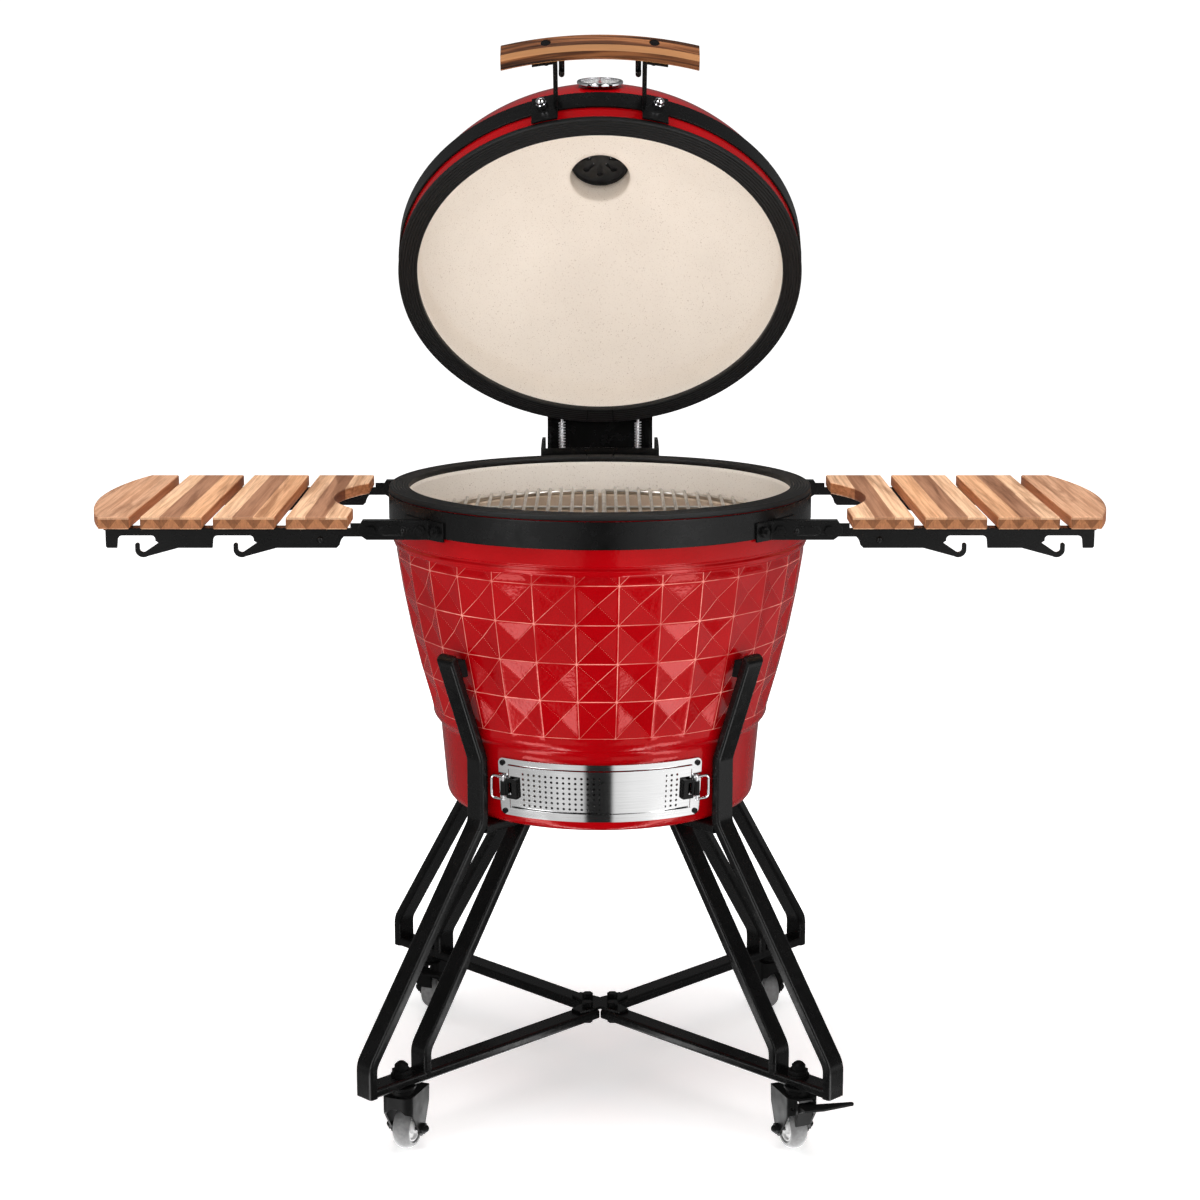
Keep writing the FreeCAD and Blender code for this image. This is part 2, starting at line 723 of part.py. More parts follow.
def make_stand():
    one_leg = leg()
    for name, angle in corner_turns():
        feature("leg_" + name, one_leg, Placement(Vector(0, 0, 0), Rotation(UP, angle)))
    foot = size("cross_height")
    top_of_cross = foot + size("tube_depth")
    lower = star_plate("star_plate_lower", top_of_cross)
    upper = star_plate("star_plate_upper", size("base_bottom") - size("tube_depth") - size("plate"))
    pair = doc.addObject("Part::Compound", "star_pair")
    pair.Links = [lower, upper]
    node(pair, "star_plates")
    bolts = []
    for _, angle in corner_turns():
        outward = Rotation(UP, angle).multVec(RIGHT) * HUB_BOLT
        seat = outward + UP * (top_of_cross + size("plate"))
        bolts.append(bolt(HUB_BOLT_RADIUS, size("tube_depth") + size("plate") + 7, seat, UP))
        nut = hexagon(13, 6, outward + UP * foot, -UP)
        bolts.append(nut.cut(rod(outward + UP * (foot - 9), outward + UP * foot, HUB_BOLT_RADIUS)))
        under = outward + UP * (size("base_bottom") - size("tube_depth") - size("plate"))
        bolts.append(bolt(HUB_BOLT_RADIUS, 12, under, -UP))
    feature("stand_bolts", Part.makeCompound(bolts))
    bumpers = []
    for _, angle in corner_turns():
        bumper = leg_bumper()
        bumper.Placement = Placement(Vector(0, 0, 0), Rotation(UP, angle))
        bumpers.append(bumper)
    feature("leg_bumpers", Part.makeCompound(bumpers))


def star_plate(name, bottom):
    """Four-pointed plate that ties the leg bars together at the middle."""
    corners = []
    for k in range(4):
        tip = math.radians(45 + 90 * k)
        side = math.radians(90 + 90 * k)
        across = (-math.sin(tip) * STAR_BLUNT, math.cos(tip) * STAR_BLUNT)
        point = (math.cos(tip) * STAR_TIP, math.sin(tip) * STAR_TIP)
        corners.append((point[0] - across[0], point[1] - across[1]))
        corners.append((point[0] + across[0], point[1] + across[1]))
        corners.append((math.cos(side) * STAR_WAIST, math.sin(side) * STAR_WAIST))
    body = padded(name, loop(corners), "Sizes.plate", bottom)
    holes = body.newObject("Sketcher::SketchObject", name + "_holes")
    plane = [p for p in body.Origin.OriginFeatures if getattr(p, "Role", "") == "XY_Plane"]
    holes.AttachmentSupport = (plane[0], [""])
    holes.MapMode = "FlatFace"
    for k in range(4):
        angle = math.radians(45 + 90 * k)
        centre = Vector(math.cos(angle) * HUB_BOLT, math.sin(angle) * HUB_BOLT, 0)
        holes.addGeometry(Part.Circle(centre, UP, HUB_BOLT_RADIUS), False)
    pocket = body.newObject("PartDesign::Pocket", name + "_pocket")
    pocket.Profile = holes
    pocket.Type = 1
    pocket.Midplane = True
    body.Tip = pocket
    doc.recompute()
    return body


# ---------------------------------------------------------------- casters
# Each caster is modelled with its stem on the Z axis and the wheel trailing toward -X. The grill has
# just been pushed forward, so all wheels trail to the rear.

CROWN = 86              # top of the fork
BOSS_TOP = 92           # top of the bearing boss on the fork
BOSS_RADIUS = 17
FORK_HALF = 22          # half width over the cheeks
FORK_CHEEK = 3          # sheet thickness
FORK_FRONT = 22         # front of the hood from the stem
FORK_BACK = -44         # rear edge of the cheeks
FORK_CORNER = 12        # rounding of the hood's front corners, seen from above
ARCH = 17               # radius of the front opening above the tyre


def caster_stem():
    """Stem bolt with its top race, the dome nut on the bar and the collar that holds the fork."""
    foot = size("cross_height")
    radius = size("stem_radius")
    bar_top = foot + size("tube_depth")
    collar_low = CROWN - FORK_CHEEK - 3.5
    stem = rod(upright(0, collar_low), upright(0, bar_top + 8), radius)
    race = Part.makeCylinder(BOSS_RADIUS + 3, 3, upright(0, foot - 3), UP)
    lower_race = Part.makeCylinder(BOSS_RADIUS, foot - 3 - BOSS_TOP - 0.4, upright(0, BOSS_TOP + 0.4), UP)
    collar = Part.makeCylinder(11, 3, upright(0, collar_low), UP)
    washer = Part.makeCylinder(15, 2.5, upright(0, bar_top), UP)
    nut = hexagon(24, 6, upright(0, bar_top + 2.5), UP)
    cap = dome(9.5, 13, upright(0, bar_top + 8), UP)
    return stem.multiFuse([race, lower_race, collar, washer, nut, cap]).removeSplitter()


def fork_hood():
    """Crown and walls of the fork pressed from one sheet: closed in front, open behind the wheel."""
    sheet = FORK_CHEEK
    outside = hood_plan(FORK_BACK, FORK_HALF, FORK_FRONT, FORK_CORNER)
    inside = hood_plan(FORK_BACK - 5, FORK_HALF - sheet, FORK_FRONT - sheet, FORK_CORNER - sheet)
    walls = slab(outside, 0, CROWN, UP).cut(slab(inside, -5, CROWN - FORK_CHEEK + 5, UP))
    axle_x, axle_z = -size("caster_trail"), size("wheel_radius")
    cheek = outline([
        (FORK_BACK, CROWN + 1), (FORK_FRONT + 1, CROWN + 1), (FORK_FRONT + 1, 64), (12, 58),
        (axle_x + 9, axle_z - 2), ((axle_x, axle_z - 11), (axle_x - 9, axle_z - 2)), (-42, 62),
    ])
    arch = Part.makeCylinder(ARCH, 30, Vector(5, 0, 53), RIGHT)
    return walls.common(slab(cheek, -30, 60, BACK)).cut(arch)


def hood_plan(back, side, front, corner):
    """Plan of the fork: straight sides and a front with rounded corners."""
    bulge = corner * (1 - math.sqrt(0.5))
    return outline([
        (back, -side), (front - corner, -side), ((front - bulge, bulge - side), (front, corner - side)),
        (front, side - corner), ((front - bulge, side - bulge), (front - corner, side)), (back, side),
    ], flat)


def caster_fork():
    """Pressed steel fork with its axle bolt and nut as a separate solid."""
    gap = size("running_gap")
    axle_x, axle_z = -size("caster_trail"), size("wheel_radius")
    boss = Part.makeCylinder(BOSS_RADIUS, BOSS_TOP - CROWN, upright(0, CROWN), UP)
    fork = fork_hood().fuse(boss)
    fork = fork.cut(rod(upright(0, 60), upright(0, 95), size("stem_radius") + gap))
    start = Vector(axle_x, -FORK_HALF, axle_z)
    end = Vector(axle_x, FORK_HALF, axle_z)
    radius = size("axle_radius")
    fork = fork.cut(rod(start - BACK * 5, end + BACK * 5, radius))
    axle = rod(start, end, radius)
    ends = []
    for seat, outward in ((start, -BACK), (end, BACK)):
        ends.append(hexagon(13, 5, seat, outward))
        ends.append(dome(5, 6, seat + outward * 4, outward))
    return Part.makeCompound([fork, axle.multiFuse(ends).removeSplitter()])


def caster_wheel():
    """Grey tyre on a hub, bored for the axle."""
    radius = size("wheel_radius")
    half = size("wheel_width") / 2
    bore = size("axle_radius") + size("running_gap")
    rim = radius * 0.66
    hub = spun(outline([
        (bore, -half - 1), (8, -half - 1), (10, 5 - half), (rim - 4, 5 - half), (rim - 2, 2 - half),
        (rim, 2 - half), (rim, half - 2), (rim - 2, half - 2), (rim - 4, half - 5), (10, half - 5),
        (8, half + 1), (bore, half + 1),
    ]))
    tyre = spun(outline([
        (rim, -half + 2), (rim + 2, -half), (radius - 5, -half),
        ((radius - 1.2, -half * 0.55), (radius, 0)), ((radius - 1.2, half * 0.55), (radius - 5, half)),
        (rim + 2, half), (rim, half - 2),
    ]))
    wheel = Part.makeCompound([hub, tyre])
    wheel.Placement = Placement(upright(-size("caster_trail"), radius), Rotation(RIGHT, 90))
    return wheel


PEDAL_X, PEDAL_Z = 19, 72     # where the pedal's cross pin is
PEDAL_PIN = 2.5
PEDAL_HALF = 11
PEDAL_TIP = 79
LUG = 3


def brake_pedal():
    """Foot pedal on a cross pin in front of the fork: a cam for the tyre, and a wing to one side."""
    side = outline([
        (PEDAL_X - 6, PEDAL_Z), (PEDAL_X - 4, 46), ((PEDAL_X - 2, 44), (PEDAL_X, 46)),
        (PEDAL_X + 5, PEDAL_Z - 6),
        (38, 74), (43, 75), (43, PEDAL_TIP), (36, PEDAL_TIP), (PEDAL_X + 2, PEDAL_Z + 6),
        ((PEDAL_X - 4, PEDAL_Z + 4.4), (PEDAL_X - 6, PEDAL_Z)),
    ])
    arm = slab(side, -PEDAL_HALF, 2 * PEDAL_HALF, BACK)
    wing = outline([
        (30, -PEDAL_HALF), (46, -PEDAL_HALF), (50, 16), (46, 60), ((42, 64), (38, 60)), (30, 16),
    ], flat)
    reach = PEDAL_HALF + LUG + 1
    pin = rod(Vector(PEDAL_X, -reach, PEDAL_Z), Vector(PEDAL_X, reach, PEDAL_Z), PEDAL_PIN)
    return arm.multiFuse([slab(wing, PEDAL_TIP - 3, 3, UP), pin])


def braked_fork(fork):
    """The fork opened in front for the pedal, with two lugs that carry the pedal's pin."""
    side = PEDAL_HALF + 0.5
    opened = fork.cut(block((2, 40), (-side, side), (40, CROWN - FORK_CHEEK)))
    lug = outline([(8, CROWN - 2), (8, 72), (14, 65), (24, 65), (27, 72), (27, 78), (22, CROWN - 2)])
    lugs = [slab(lug, side, LUG, BACK), slab(lug, -side - LUG, LUG, BACK)]
    hole = rod(Vector(PEDAL_X, -30, PEDAL_Z), Vector(PEDAL_X, 30, PEDAL_Z), PEDAL_PIN + size("running_gap"))
    return opened.multiFuse(lugs).cut(hole)


def caster_turns():
    """Caster names, the turn of their corner and the turn of their fork about Z."""
    return (
        ("rear_right", 45, 290), ("rear_left", 135, 250),
        ("front_left", 225, 250), ("front_right", 315, 290),
    )


def make_casters():
    offset = size("caster_offset")
    stem, fork, wheel, pedal = caster_stem(), caster_fork(), caster_wheel(), brake_pedal()
    braked = Part.makeCompound([braked_fork(fork.Solids[0]), fork.Solids[1]])
    stems = []
    for name, corner_angle, fork_angle in caster_turns():
        corner = Rotation(UP, corner_angle).multVec(RIGHT) * offset * math.sqrt(2)
        place = Placement(corner, Rotation(UP, fork_angle))
        standing = stem.copy()
        standing.Placement = Placement(corner, Rotation(UP, corner_angle))
        stems.append(standing)
        has_brake = name in ("front_right", "rear_left")
        feature("caster_fork_" + name, braked if has_brake else fork, place)
        moved = wheel.copy()
        moved.Placement = place.multiply(wheel.Placement)
        feature("caster_wheel_" + name, moved, moved.Placement)
        if has_brake:
            feature("brake_pedal_" + name, pedal, place)
    feature("caster_stems", Part.makeCompound(stems))


# ---------------------------------------------------------------- shelves, modelled on the right (+X) side

CHANNEL_GAP = 5             # half the room between a bracket's cheeks
BRACKET_LOW, BRACKET_HIGH = 845, 871
BRACKET_NOSE = 327
ARM_LOW = 833               # lower edge of an arm where it is deepest
ARM_SHALLOW = 850           # lower edge between the deep stretches
ARM_END = 668
HOOK_XS = (483, 616)
BUTTON_X, BUTTON_LEVEL = 378, 844
PIVOT_BOLT = 3.5
LOCK_SCREW_X = 266
SIDE_NUT_X = 243


def shelf_slats():
    """Outlines of the four slats from the bowl outward, as sketch edges."""
    inner = size("shelf_inner")
    width = size("slat_width")
    half = size("slat_length") / 2
    pitch = width + size("slat_gap")
    radius = size("notch_radius")
    notch_x = inner + size("notch_depth")
    chord = math.sqrt(radius ** 2 - (radius - size("notch_depth")) ** 2)
    arc = Part.Arc(flat(inner, chord), flat(notch_x, 0), flat(inner, -chord))
    first = [
        Part.LineSegment(flat(inner, -chord), flat(inner, -half)),
        Part.LineSegment(flat(inner, -half), flat(inner + width, -half)),
        Part.LineSegment(flat(inner + width, -half), flat(inner + width, half)),
        Part.LineSegment(flat(inner + width, half), flat(inner, half)),
        Part.LineSegment(flat(inner, half), flat(inner, chord)),
        arc,
    ]
    slats = [first]
    for k in (1, 2):
        left = inner + k * pitch
        slats.append(loop([(left, -half), (left + width, -half), (left + width, half), (left, half)]))
    left = inner + 3 * pitch
    shoulder = size("shelf_outer") - 33
    slats.append([
        Part.LineSegment(flat(shoulder, half), flat(left, half)),
        Part.LineSegment(flat(left, half), flat(left, -half)),
        Part.LineSegment(flat(left, -half), flat(shoulder, -half)),
        Part.Arc(flat(shoulder, -half), flat(size("shelf_outer"), 0), flat(shoulder, half)),
    ])
    return slats


def tool_hook(x):
    """Outline of a tool hook growing out of an arm's lower edge, its bowl at the given X."""
    return outline([
        (x - 46, 833), (x - 4, 821.5), ((x + 7, 821.5), (x + 12.5, 829)), (x + 12.5, 837),
        ((x + 9.5, 840), (x + 6.5, 837)), (x + 6.5, 831), ((x + 3, 827.5), (x - 2, 828.5)),
        (x - 22, 842), (x - 46, 842),
    ])


def shelf_arm():
    """One arm plate with two tool hooks, a step down to the pivot and a flange under the slats."""
    half = size("arm_thickness") / 2
    underside = size("slat_top") - size("slat_thickness")
    pivot = size("shelf_pivot")
    level = size("pivot_height")
    tail = 9
    face = outline([
        (pivot, level - tail), (346, level - tail), ((349, 845), (352, 837)), (356, ARM_LOW),
        (453, ARM_LOW), (468, 843), ((469, 848), (474, ARM_SHALLOW)), (516, ARM_SHALLOW),
        ((521, 848), (523, 843)), (524, ARM_LOW), (586, ARM_LOW), (601, 843),
        ((602, 848), (607, ARM_SHALLOW)), (645, ARM_SHALLOW), ((650, 848), (652, 843)), (653, ARM_LOW),
        (ARM_END - 2, ARM_LOW), (ARM_END, ARM_LOW + 2), (ARM_END, underside), (337, underside),
        (337, level + tail), (pivot, level + tail), ((pivot - tail, level), (pivot, level - tail)),
    ])
    web = slab(face, -half, 2 * half, BACK)
    hooks = [slab(tool_hook(x), -half, 2 * half, BACK) for x in HOOK_XS]
    flange = block((346, ARM_END), (0, 22), (underside - 3, underside))
    arm = web.multiFuse(hooks + [flange]).removeSplitter()
    hole = rod(Vector(pivot, -20, level), Vector(pivot, 20, level), PIVOT_BOLT + size("running_gap"))
    screw_hole = rod(Vector(BUTTON_X, -20, BUTTON_LEVEL), Vector(BUTTON_X, 20, BUTTON_LEVEL), 3)
    return arm.cut(hole).cut(screw_hole)


def front_and_rear(shape):
    """A front arm piece and its mirror image at the rear, moved out to the arm positions."""
    front = shape.copy()
    front.translate(Vector(0, -size("arm_offset"), 0))
    return front, front.mirror(Vector(0, 0, 0), BACK)


def shelf_screws():
    """Two screws up through each arm flange into each slat, and one button head on each arm."""
    underside = size("slat_top") - size("slat_thickness")
    pitch = size("slat_width") + size("slat_gap")
    screws = []
    for k in range(4):
        spread = 22 if k < 3 else 8
        middle = size("shelf_inner") + size("slat_width") / 2 + k * pitch - (14 if k == 3 else 0)
        for x in (middle - spread, middle + spread):
            screws.append(Part.makeCylinder(4, 1.8, Vector(x, 13, underside - 3 - 1.8)))
    seat = Vector(BUTTON_X, -size("arm_thickness") / 2, BUTTON_LEVEL)
    button = rod(seat, seat + BACK * 7, 3).fuse(dome(5, 3.2, seat, -BACK))
    screws.append(button.removeSplitter())
    return screws


def shelf_bracket():
    """Inverted channel for one arm, with a flange bent round the base band."""
    low, high, nose = BRACKET_LOW, BRACKET_HIGH, BRACKET_NOSE
    inner = CHANNEL_GAP
    outer = CHANNEL_GAP + 3
    pivot, level = size("shelf_pivot"), size("pivot_height")
    cheek = outline([
        (225, low), (nose - 12, low), (nose, level - 4), (nose, level + 4), (nose - 6, high), (225, high),
    ])
    parts = [slab(cheek, inner, 3, BACK), slab(cheek, -outer, 3, BACK)]
    parts.append(block((225, nose - 6), (-outer, outer), (high - 3, high)))
    channel = parts[0].multiFuse(parts[1:]).removeSplitter()
    channel = channel.cut(rod(Vector(pivot, -20, level), Vector(pivot, 20, level), PIVOT_BOLT))
    rib = outline([
        (LOCK_SCREW_X, level - 6), (pivot - 16, level - 6), (pivot - 10, level), (pivot - 16, level + 6),
        (LOCK_SCREW_X, level + 6), ((LOCK_SCREW_X - 6, level), (LOCK_SCREW_X, level - 6)),
    ])
    channel = channel.fuse(slab(rib, -outer - 1.5, 2, BACK)).removeSplitter()
    channel.translate(Vector(0, -size("arm_offset"), 0))
    around = spun(outline([(0, low - 5), (size("rim_radius") + 3, low - 5),
                           (size("rim_radius") + 3, high + 5), (0, high + 5)]))
    channel = channel.cut(around)
    strap = swept(outline([(size("rim_radius"), low), (size("rim_radius") + 3, low),
                           (size("rim_radius") + 3, high), (size("rim_radius"), high)]), 44, 62)
    return channel.fuse(strap)


def bracket_bolts():
    """Pivot bolt, lock screw, side nut and two band bolts of the front right bracket."""
    side = CHANNEL_GAP + 3
    outer_face = -size("arm_offset") - side
    level = size("pivot_height")
    start = Vector(size("shelf_pivot"), outer_face, level)
    lock = Vector(LOCK_SCREW_X, outer_face - 1.5, level)
    stud = Vector(SIDE_NUT_X, outer_face, level)
    found = [bolt(PIVOT_BOLT, 2 * side + 6, start, -BACK), dome(4.5, 3, lock, -BACK)]
    found.append(hexagon(13, 5, stud, -BACK).fuse(rod(stud, stud - BACK * 9, 3)).removeSplitter())
    for angle in (46.5, 59.5):
        outward = Vector(math.sin(math.radians(angle)), -math.cos(math.radians(angle)), 0)
        seat = outward * (size("rim_radius") + 3) + UP * (BRACKET_LOW + BRACKET_HIGH) / 2
        band_bolt = hexagon(13, 5, seat, outward).fuse(rod(seat, seat + outward * 9, 3))
        found.append(band_bolt.removeSplitter())
    return found


def make_shelves():
    slats = []
    for k, edges in enumerate(shelf_slats(), start=1):
        bottom = size("slat_top") - size("slat_thickness")
        slats.append(padded("slat_%d" % k, edges, "Sizes.slat_thickness", bottom, "Sizes.slat_edge"))
    board = doc.addObject("Part::Compound", "slat_set")
    board.Links = slats
    doc.recompute()
    node(board, "shelf_slats_right")
    other = doc.addObject("Part::Mirroring", "slat_set_left")
    other.Source = board
    other.Normal = RIGHT
    node(other, "shelf_slats_left")
    arms = Part.makeCompound(list(front_and_rear(shelf_arm())))
    feature("shelf_arms_right", arms)
    feature("shelf_arms_left", mirror_left_right(arms))
    screws = []
    for screw in shelf_screws():
        screws.extend(front_and_rear(screw))
    screws = Part.makeCompound(screws)
    feature("shelf_screws_right", screws)
    feature("shelf_screws_left", mirror_left_right(screws))
    front = shelf_bracket()
    pair = Part.makeCompound([front, front.mirror(Vector(0, 0, 0), BACK)])
    feature("shelf_brackets", Part.makeCompound([pair, mirror_left_right(pair)]))
    bolts = bracket_bolts()
    bolts = bolts + [b.mirror(Vector(0, 0, 0), BACK) for b in bolts]
    feature("shelf_bracket_bolts", Part.makeCompound(bolts + [mirror_left_right(b) for b in bolts]))


# ---------------------------------------------------------------- hinge

def band_plate(half, low, high, inner, thickness):
    """Sheet bent round the back of a band, cut off square at plus and minus half in X."""
    ring_face = outline([(inner, low), (inner + thickness, low), (inner + thickness, high), (inner, high)])
    return spun(ring_face).common(block((-half, half), (200, 400), (low, high)))


STOP_BACK, STOP_LEVEL = 419.6, 855      # stop pins in the base bracket's ears
TIE_BACK, TIE_LEVEL = 351.5, 876        # bar between the lid bracket's cheeks
SPRING_X = 60
SPRING_TOP = Vector(0, 303, 909)
SPRING_ALONG = Vector(0, 62, -78).normalize()
GUIDE_RADIUS = 2.2


def base_hinge_bracket():
    """Back plate on the base band with two ears for the hinge pin and a stop pin inside each ear."""
    radius = size("rim_radius")
    half = size("ear_half")
    back, level = size("pin_back"), size("pin_height")
    plate = band_plate(half, 851, 905, radius, size("plate"))
    ear = outline([
        (283, 851), (back - 14, level - 8), ((back, level - 15), (back + 14, level - 4)), (428, 848),
        (428, 862), (414, 892), ((408, 904), (396, 909)), (345, 911), (283, 905),
    ], sideways)
    ears = [slab(ear, half - 5, 5, RIGHT), slab(ear, -half, 5, RIGHT)]
    stops = []
    for side in (-1, 1):
        outer_end = Vector(side * (half - 2), STOP_BACK, STOP_LEVEL)
        stops.append(rod(outer_end, outer_end - RIGHT * side * 12, 4))
    inside = Part.makeCylinder(radius, 80, Vector(0, 0, 840))
    bracket = plate.multiFuse([e.cut(inside) for e in ears] + stops)
    pin = rod(Vector(-half - 5, back, level), Vector(half + 5, back, level), size("pin_radius"))
    return bracket.cut(pin)


def lid_hinge_bracket():
    """Plate on the lid band with two cheeks down to the pin, a web and a tie bar between them, lid shut."""
    radius = size("rim_radius")
    half = size("cheek_half")
    back, level = size("pin_back"), size("pin_height")
    plate = band_plate(half, 912, 955, radius, size("plate"))
    cheek = outline([
        (285, 912), (312, 908), (back - 13, level + 6), ((back - 4, level - 13), (back + 12, level - 6)),
        (back + 12, level + 12), (330, 940), (318, 955), (285, 955),
    ], sideways)
    cheeks = [slab(cheek, half - 4, 4, RIGHT), slab(cheek, -half, 4, RIGHT)]
    web = outline([(306, 915), (310, 915), (371, 840), (368, 837)], sideways)
    shelf = outline([(300, 912), (309, 912), (309, 916), (300, 916)], sideways)
    inside = Part.makeCylinder(radius, 60, Vector(0, 0, 900))
    web_start = Vector(0, 306, 915)
    front = SPRING_ALONG.cross(RIGHT)
    lug_corners = ((85, -1), (85, 12), (89, 12), (89, -1), (85, -1))
    lug_points = [web_start + SPRING_ALONG * along + front * out for along, out in lug_corners]
    lug = Part.Face(Part.makePolygon(lug_points))
    solids = [c.cut(inside) for c in cheeks]
    solids.append(slab(web, -half, 2 * half, RIGHT))
    solids.append(slab(shelf, -half, 2 * half, RIGHT).cut(inside))
    solids.extend(slab(lug, x - 8, 16, RIGHT) for x in (-SPRING_X, SPRING_X))
    solids.append(rod(Vector(1 - half, TIE_BACK, TIE_LEVEL), Vector(half - 1, TIE_BACK, TIE_LEVEL), 4))
    bracket = plate.multiFuse(solids)
    for shank in spring_guides(GUIDE_RADIUS):
        bracket = bracket.cut(shank)
    hole = size("pin_radius") + size("running_gap")
    bracket = bracket.cut(rod(Vector(-half - 5, back, level), Vector(half + 5, back, level), hole))
    return bracket.removeSplitter()


def spring_guides(radius):
    """The two guide bolts' shanks, lying along the front of the lid bracket's web."""
    shanks = []
    for x in (-SPRING_X, SPRING_X):
        start = SPRING_TOP + RIGHT * x
        shanks.append(rod(start - SPRING_ALONG * 10, start + SPRING_ALONG * 94, radius))
    return shanks


def lid_springs():
    """Two coil springs on guide bolts."""
    springs = []
    for x, shank in zip((-SPRING_X, SPRING_X), spring_guides(GUIDE_RADIUS)):
        start = SPRING_TOP + RIGHT * x
        springs.append(coil(4.6, 1.1, 4.4, 17, start + SPRING_ALONG * 6, SPRING_ALONG))
        springs.append(shank)
        nut = hexagon(9, 4, start + SPRING_ALONG * 90.5, SPRING_ALONG)
        springs.append(nut.cut(shank))
    return springs


def torsion_springs():
    """Two torsion springs round the hinge pin."""
    back, level = size("pin_back"), size("pin_height")
    return [coil(8.5, 1.6, 4, 9, Vector(x, back, level), RIGHT) for x in (-66, 30)]


def make_hinge():
    back, level = size("pin_back"), size("pin_height")
    half = size("ear_half")
    feature("base_hinge_bracket", base_hinge_bracket())
    turn = Rotation(UP, RIGHT)
    shank = cylinder("hinge_shank", "Sizes.pin_radius", "2 * Sizes.ear_half + 8",
                     Vector(-half - 4, back, level), turn)
    head = cylinder("hinge_head", "Sizes.pin_radius + 3", "4", Vector(half, back, level), turn)
    tail = cylinder("hinge_tail", "Sizes.pin_radius + 3", "4", Vector(-half - 4, back, level), turn)
    node(fuse("hinge_rod", [shank, head, tail]), "hinge_pin")
    feature("hinge_torsion_springs", Part.makeCompound(torsion_springs()))


# ---------------------------------------------------------------- lid, modelled shut

DOME_SAG = 38.8


def dome_points():
    """Start, middle and end of the dome's outer curve, in radius and height."""
    start = (size("ceramic_radius"), size("lid_band_top") + 1)
    end = (size("neck_radius") + 4, size("lid_top"))
    run, rise = end[0] - start[0], end[1] - start[1]
    chord = math.hypot(run, rise)
    normal = (rise / chord, -run / chord)
    middle = ((start[0] + end[0]) / 2 + normal[0] * DOME_SAG, (start[1] + end[1]) / 2 + normal[1] * DOME_SAG)
    return start, middle, end, normal


def lid_shell():
    bottom = size("rim_height") + size("gasket_gap") + size("gasket_thickness")
    start, middle, end, normal = dome_points()
    wall = size("wall")
    inner_middle = (middle[0] - normal[0] * wall, middle[1] - normal[1] * wall)
    outer = size("ceramic_radius")
    inner = size("mouth_radius")
    bore = size("chimney_radius")
    shell = spun(outline([
        (outer, bottom), start, (middle, end), (size("neck_radius"), size("lid_top") + 3),
        (size("neck_radius"), size("chimney_top")), (bore, size("chimney_top")),
        (bore, size("lid_top") - wall + 2), (inner_middle, (inner - 1, start[1] + 2)), (inner, bottom),
    ]))
    seat, outward = thermometer_seat()
    return shell.cut(rod(seat + outward * 20, seat - outward * 60, 5))


def dome_surface(angle):
    """Point on the outer curve at an angle along its arc from the band, and the slope there."""
    start, middle, end, _ = dome_points()
    circle = Part.Arc(upright(*start), upright(*middle), upright(*end)).toShape().Curve
    radius = circle.Radius
    centre = circle.Center
    first = math.atan2(start[1] - centre.z, start[0] - centre.x)
    now = first + math.radians(angle)
    return centre.x + radius * math.cos(now), centre.z + radius * math.sin(now), now


THERMOMETER_ANGLE = 8.5


def thermometer_seat():
    """Centre of the thermometer on the front of the dome and the outward direction there."""
    reach, level, slope = dome_surface(THERMOMETER_ANGLE)
    return Vector(0, -reach, level), Vector(0, -math.cos(slope), math.sin(slope))


def make_thermometer(place):
    seat, outward = thermometer_seat()
    turn = Rotation(UP, outward)
    stand, case_depth, dial_floor = 1, 6, 2
    case_radius, lip, post_radius = 33, 5, 1.2
    needle_level = stand + dial_floor + 0.6
    glass_level = stand + 4.3
    case = spun(outline([
        (0, stand), (case_radius - 4, stand), (case_radius, stand + 2.5),
        (case_radius, stand + case_depth - 1),
        (case_radius - 1, stand + case_depth), (case_radius - lip, stand + case_depth),
        (case_radius - lip, stand + dial_floor), (0, stand + dial_floor),
    ]))
    stem = rod(upright(0, -52), upright(0, stand + 1), 3.5)
    nut = hexagon(14, stand + 0.5, upright(0, 0), UP)
    post = rod(upright(0, stand + 1), upright(0, needle_level + 1.2), post_radius)
    body = case.multiFuse([stem, nut, post]).removeSplitter()
    to_lid = Placement(seat, turn)
    body.Placement = to_lid
    feature("thermometer_case", body, place.multiply(to_lid))
    needle = slab(outline([(-1.6, -7), (1.6, -7), (0.6, 22), (-0.6, 22)], flat), needle_level, 0.6, UP)
    hub = Part.makeCylinder(3, 0.6, upright(0, needle_level))
    bore = rod(upright(0, 0), upright(0, 30), post_radius + size("running_gap"))
    needle = needle.fuse(hub).cut(bore).removeSplitter()
    needle.rotate(Vector(0, 0, 0), UP, 120)
    feature("thermometer_needle", needle, place.multiply(to_lid))
    glass = cylinder("thermometer_window", "28", "Sizes.sheet")
    glass.Placement = place.multiply(Placement(seat + outward * glass_level, turn))
    node(glass, "thermometer_glass")


PETALS = 8
PETAL_START, PETAL_END = 16, 30


def daisy_holes(level, height, offset):
    """Petal-shaped openings round the vent: a small hole, a larger one farther out and a slot between."""
    petals = []
    for k in range(PETALS):
        turn = 360 / PETALS * k + offset
        outward = Rotation(UP, turn).multVec(RIGHT)
        petals.append(Part.makeCylinder(3, height, outward * PETAL_START + UP * level))
        petals.append(Part.makeCylinder(5, height, outward * PETAL_END + UP * level))
        middle = Part.makeBox(PETAL_END - PETAL_START, 7, height, Vector(PETAL_START, -3.5, level))
        middle.rotate(Vector(0, 0, 0), UP, turn)
        petals.append(middle)
    return Part.makeCompound(petals)


VENT_PIN = Vector(0, 62, 0)


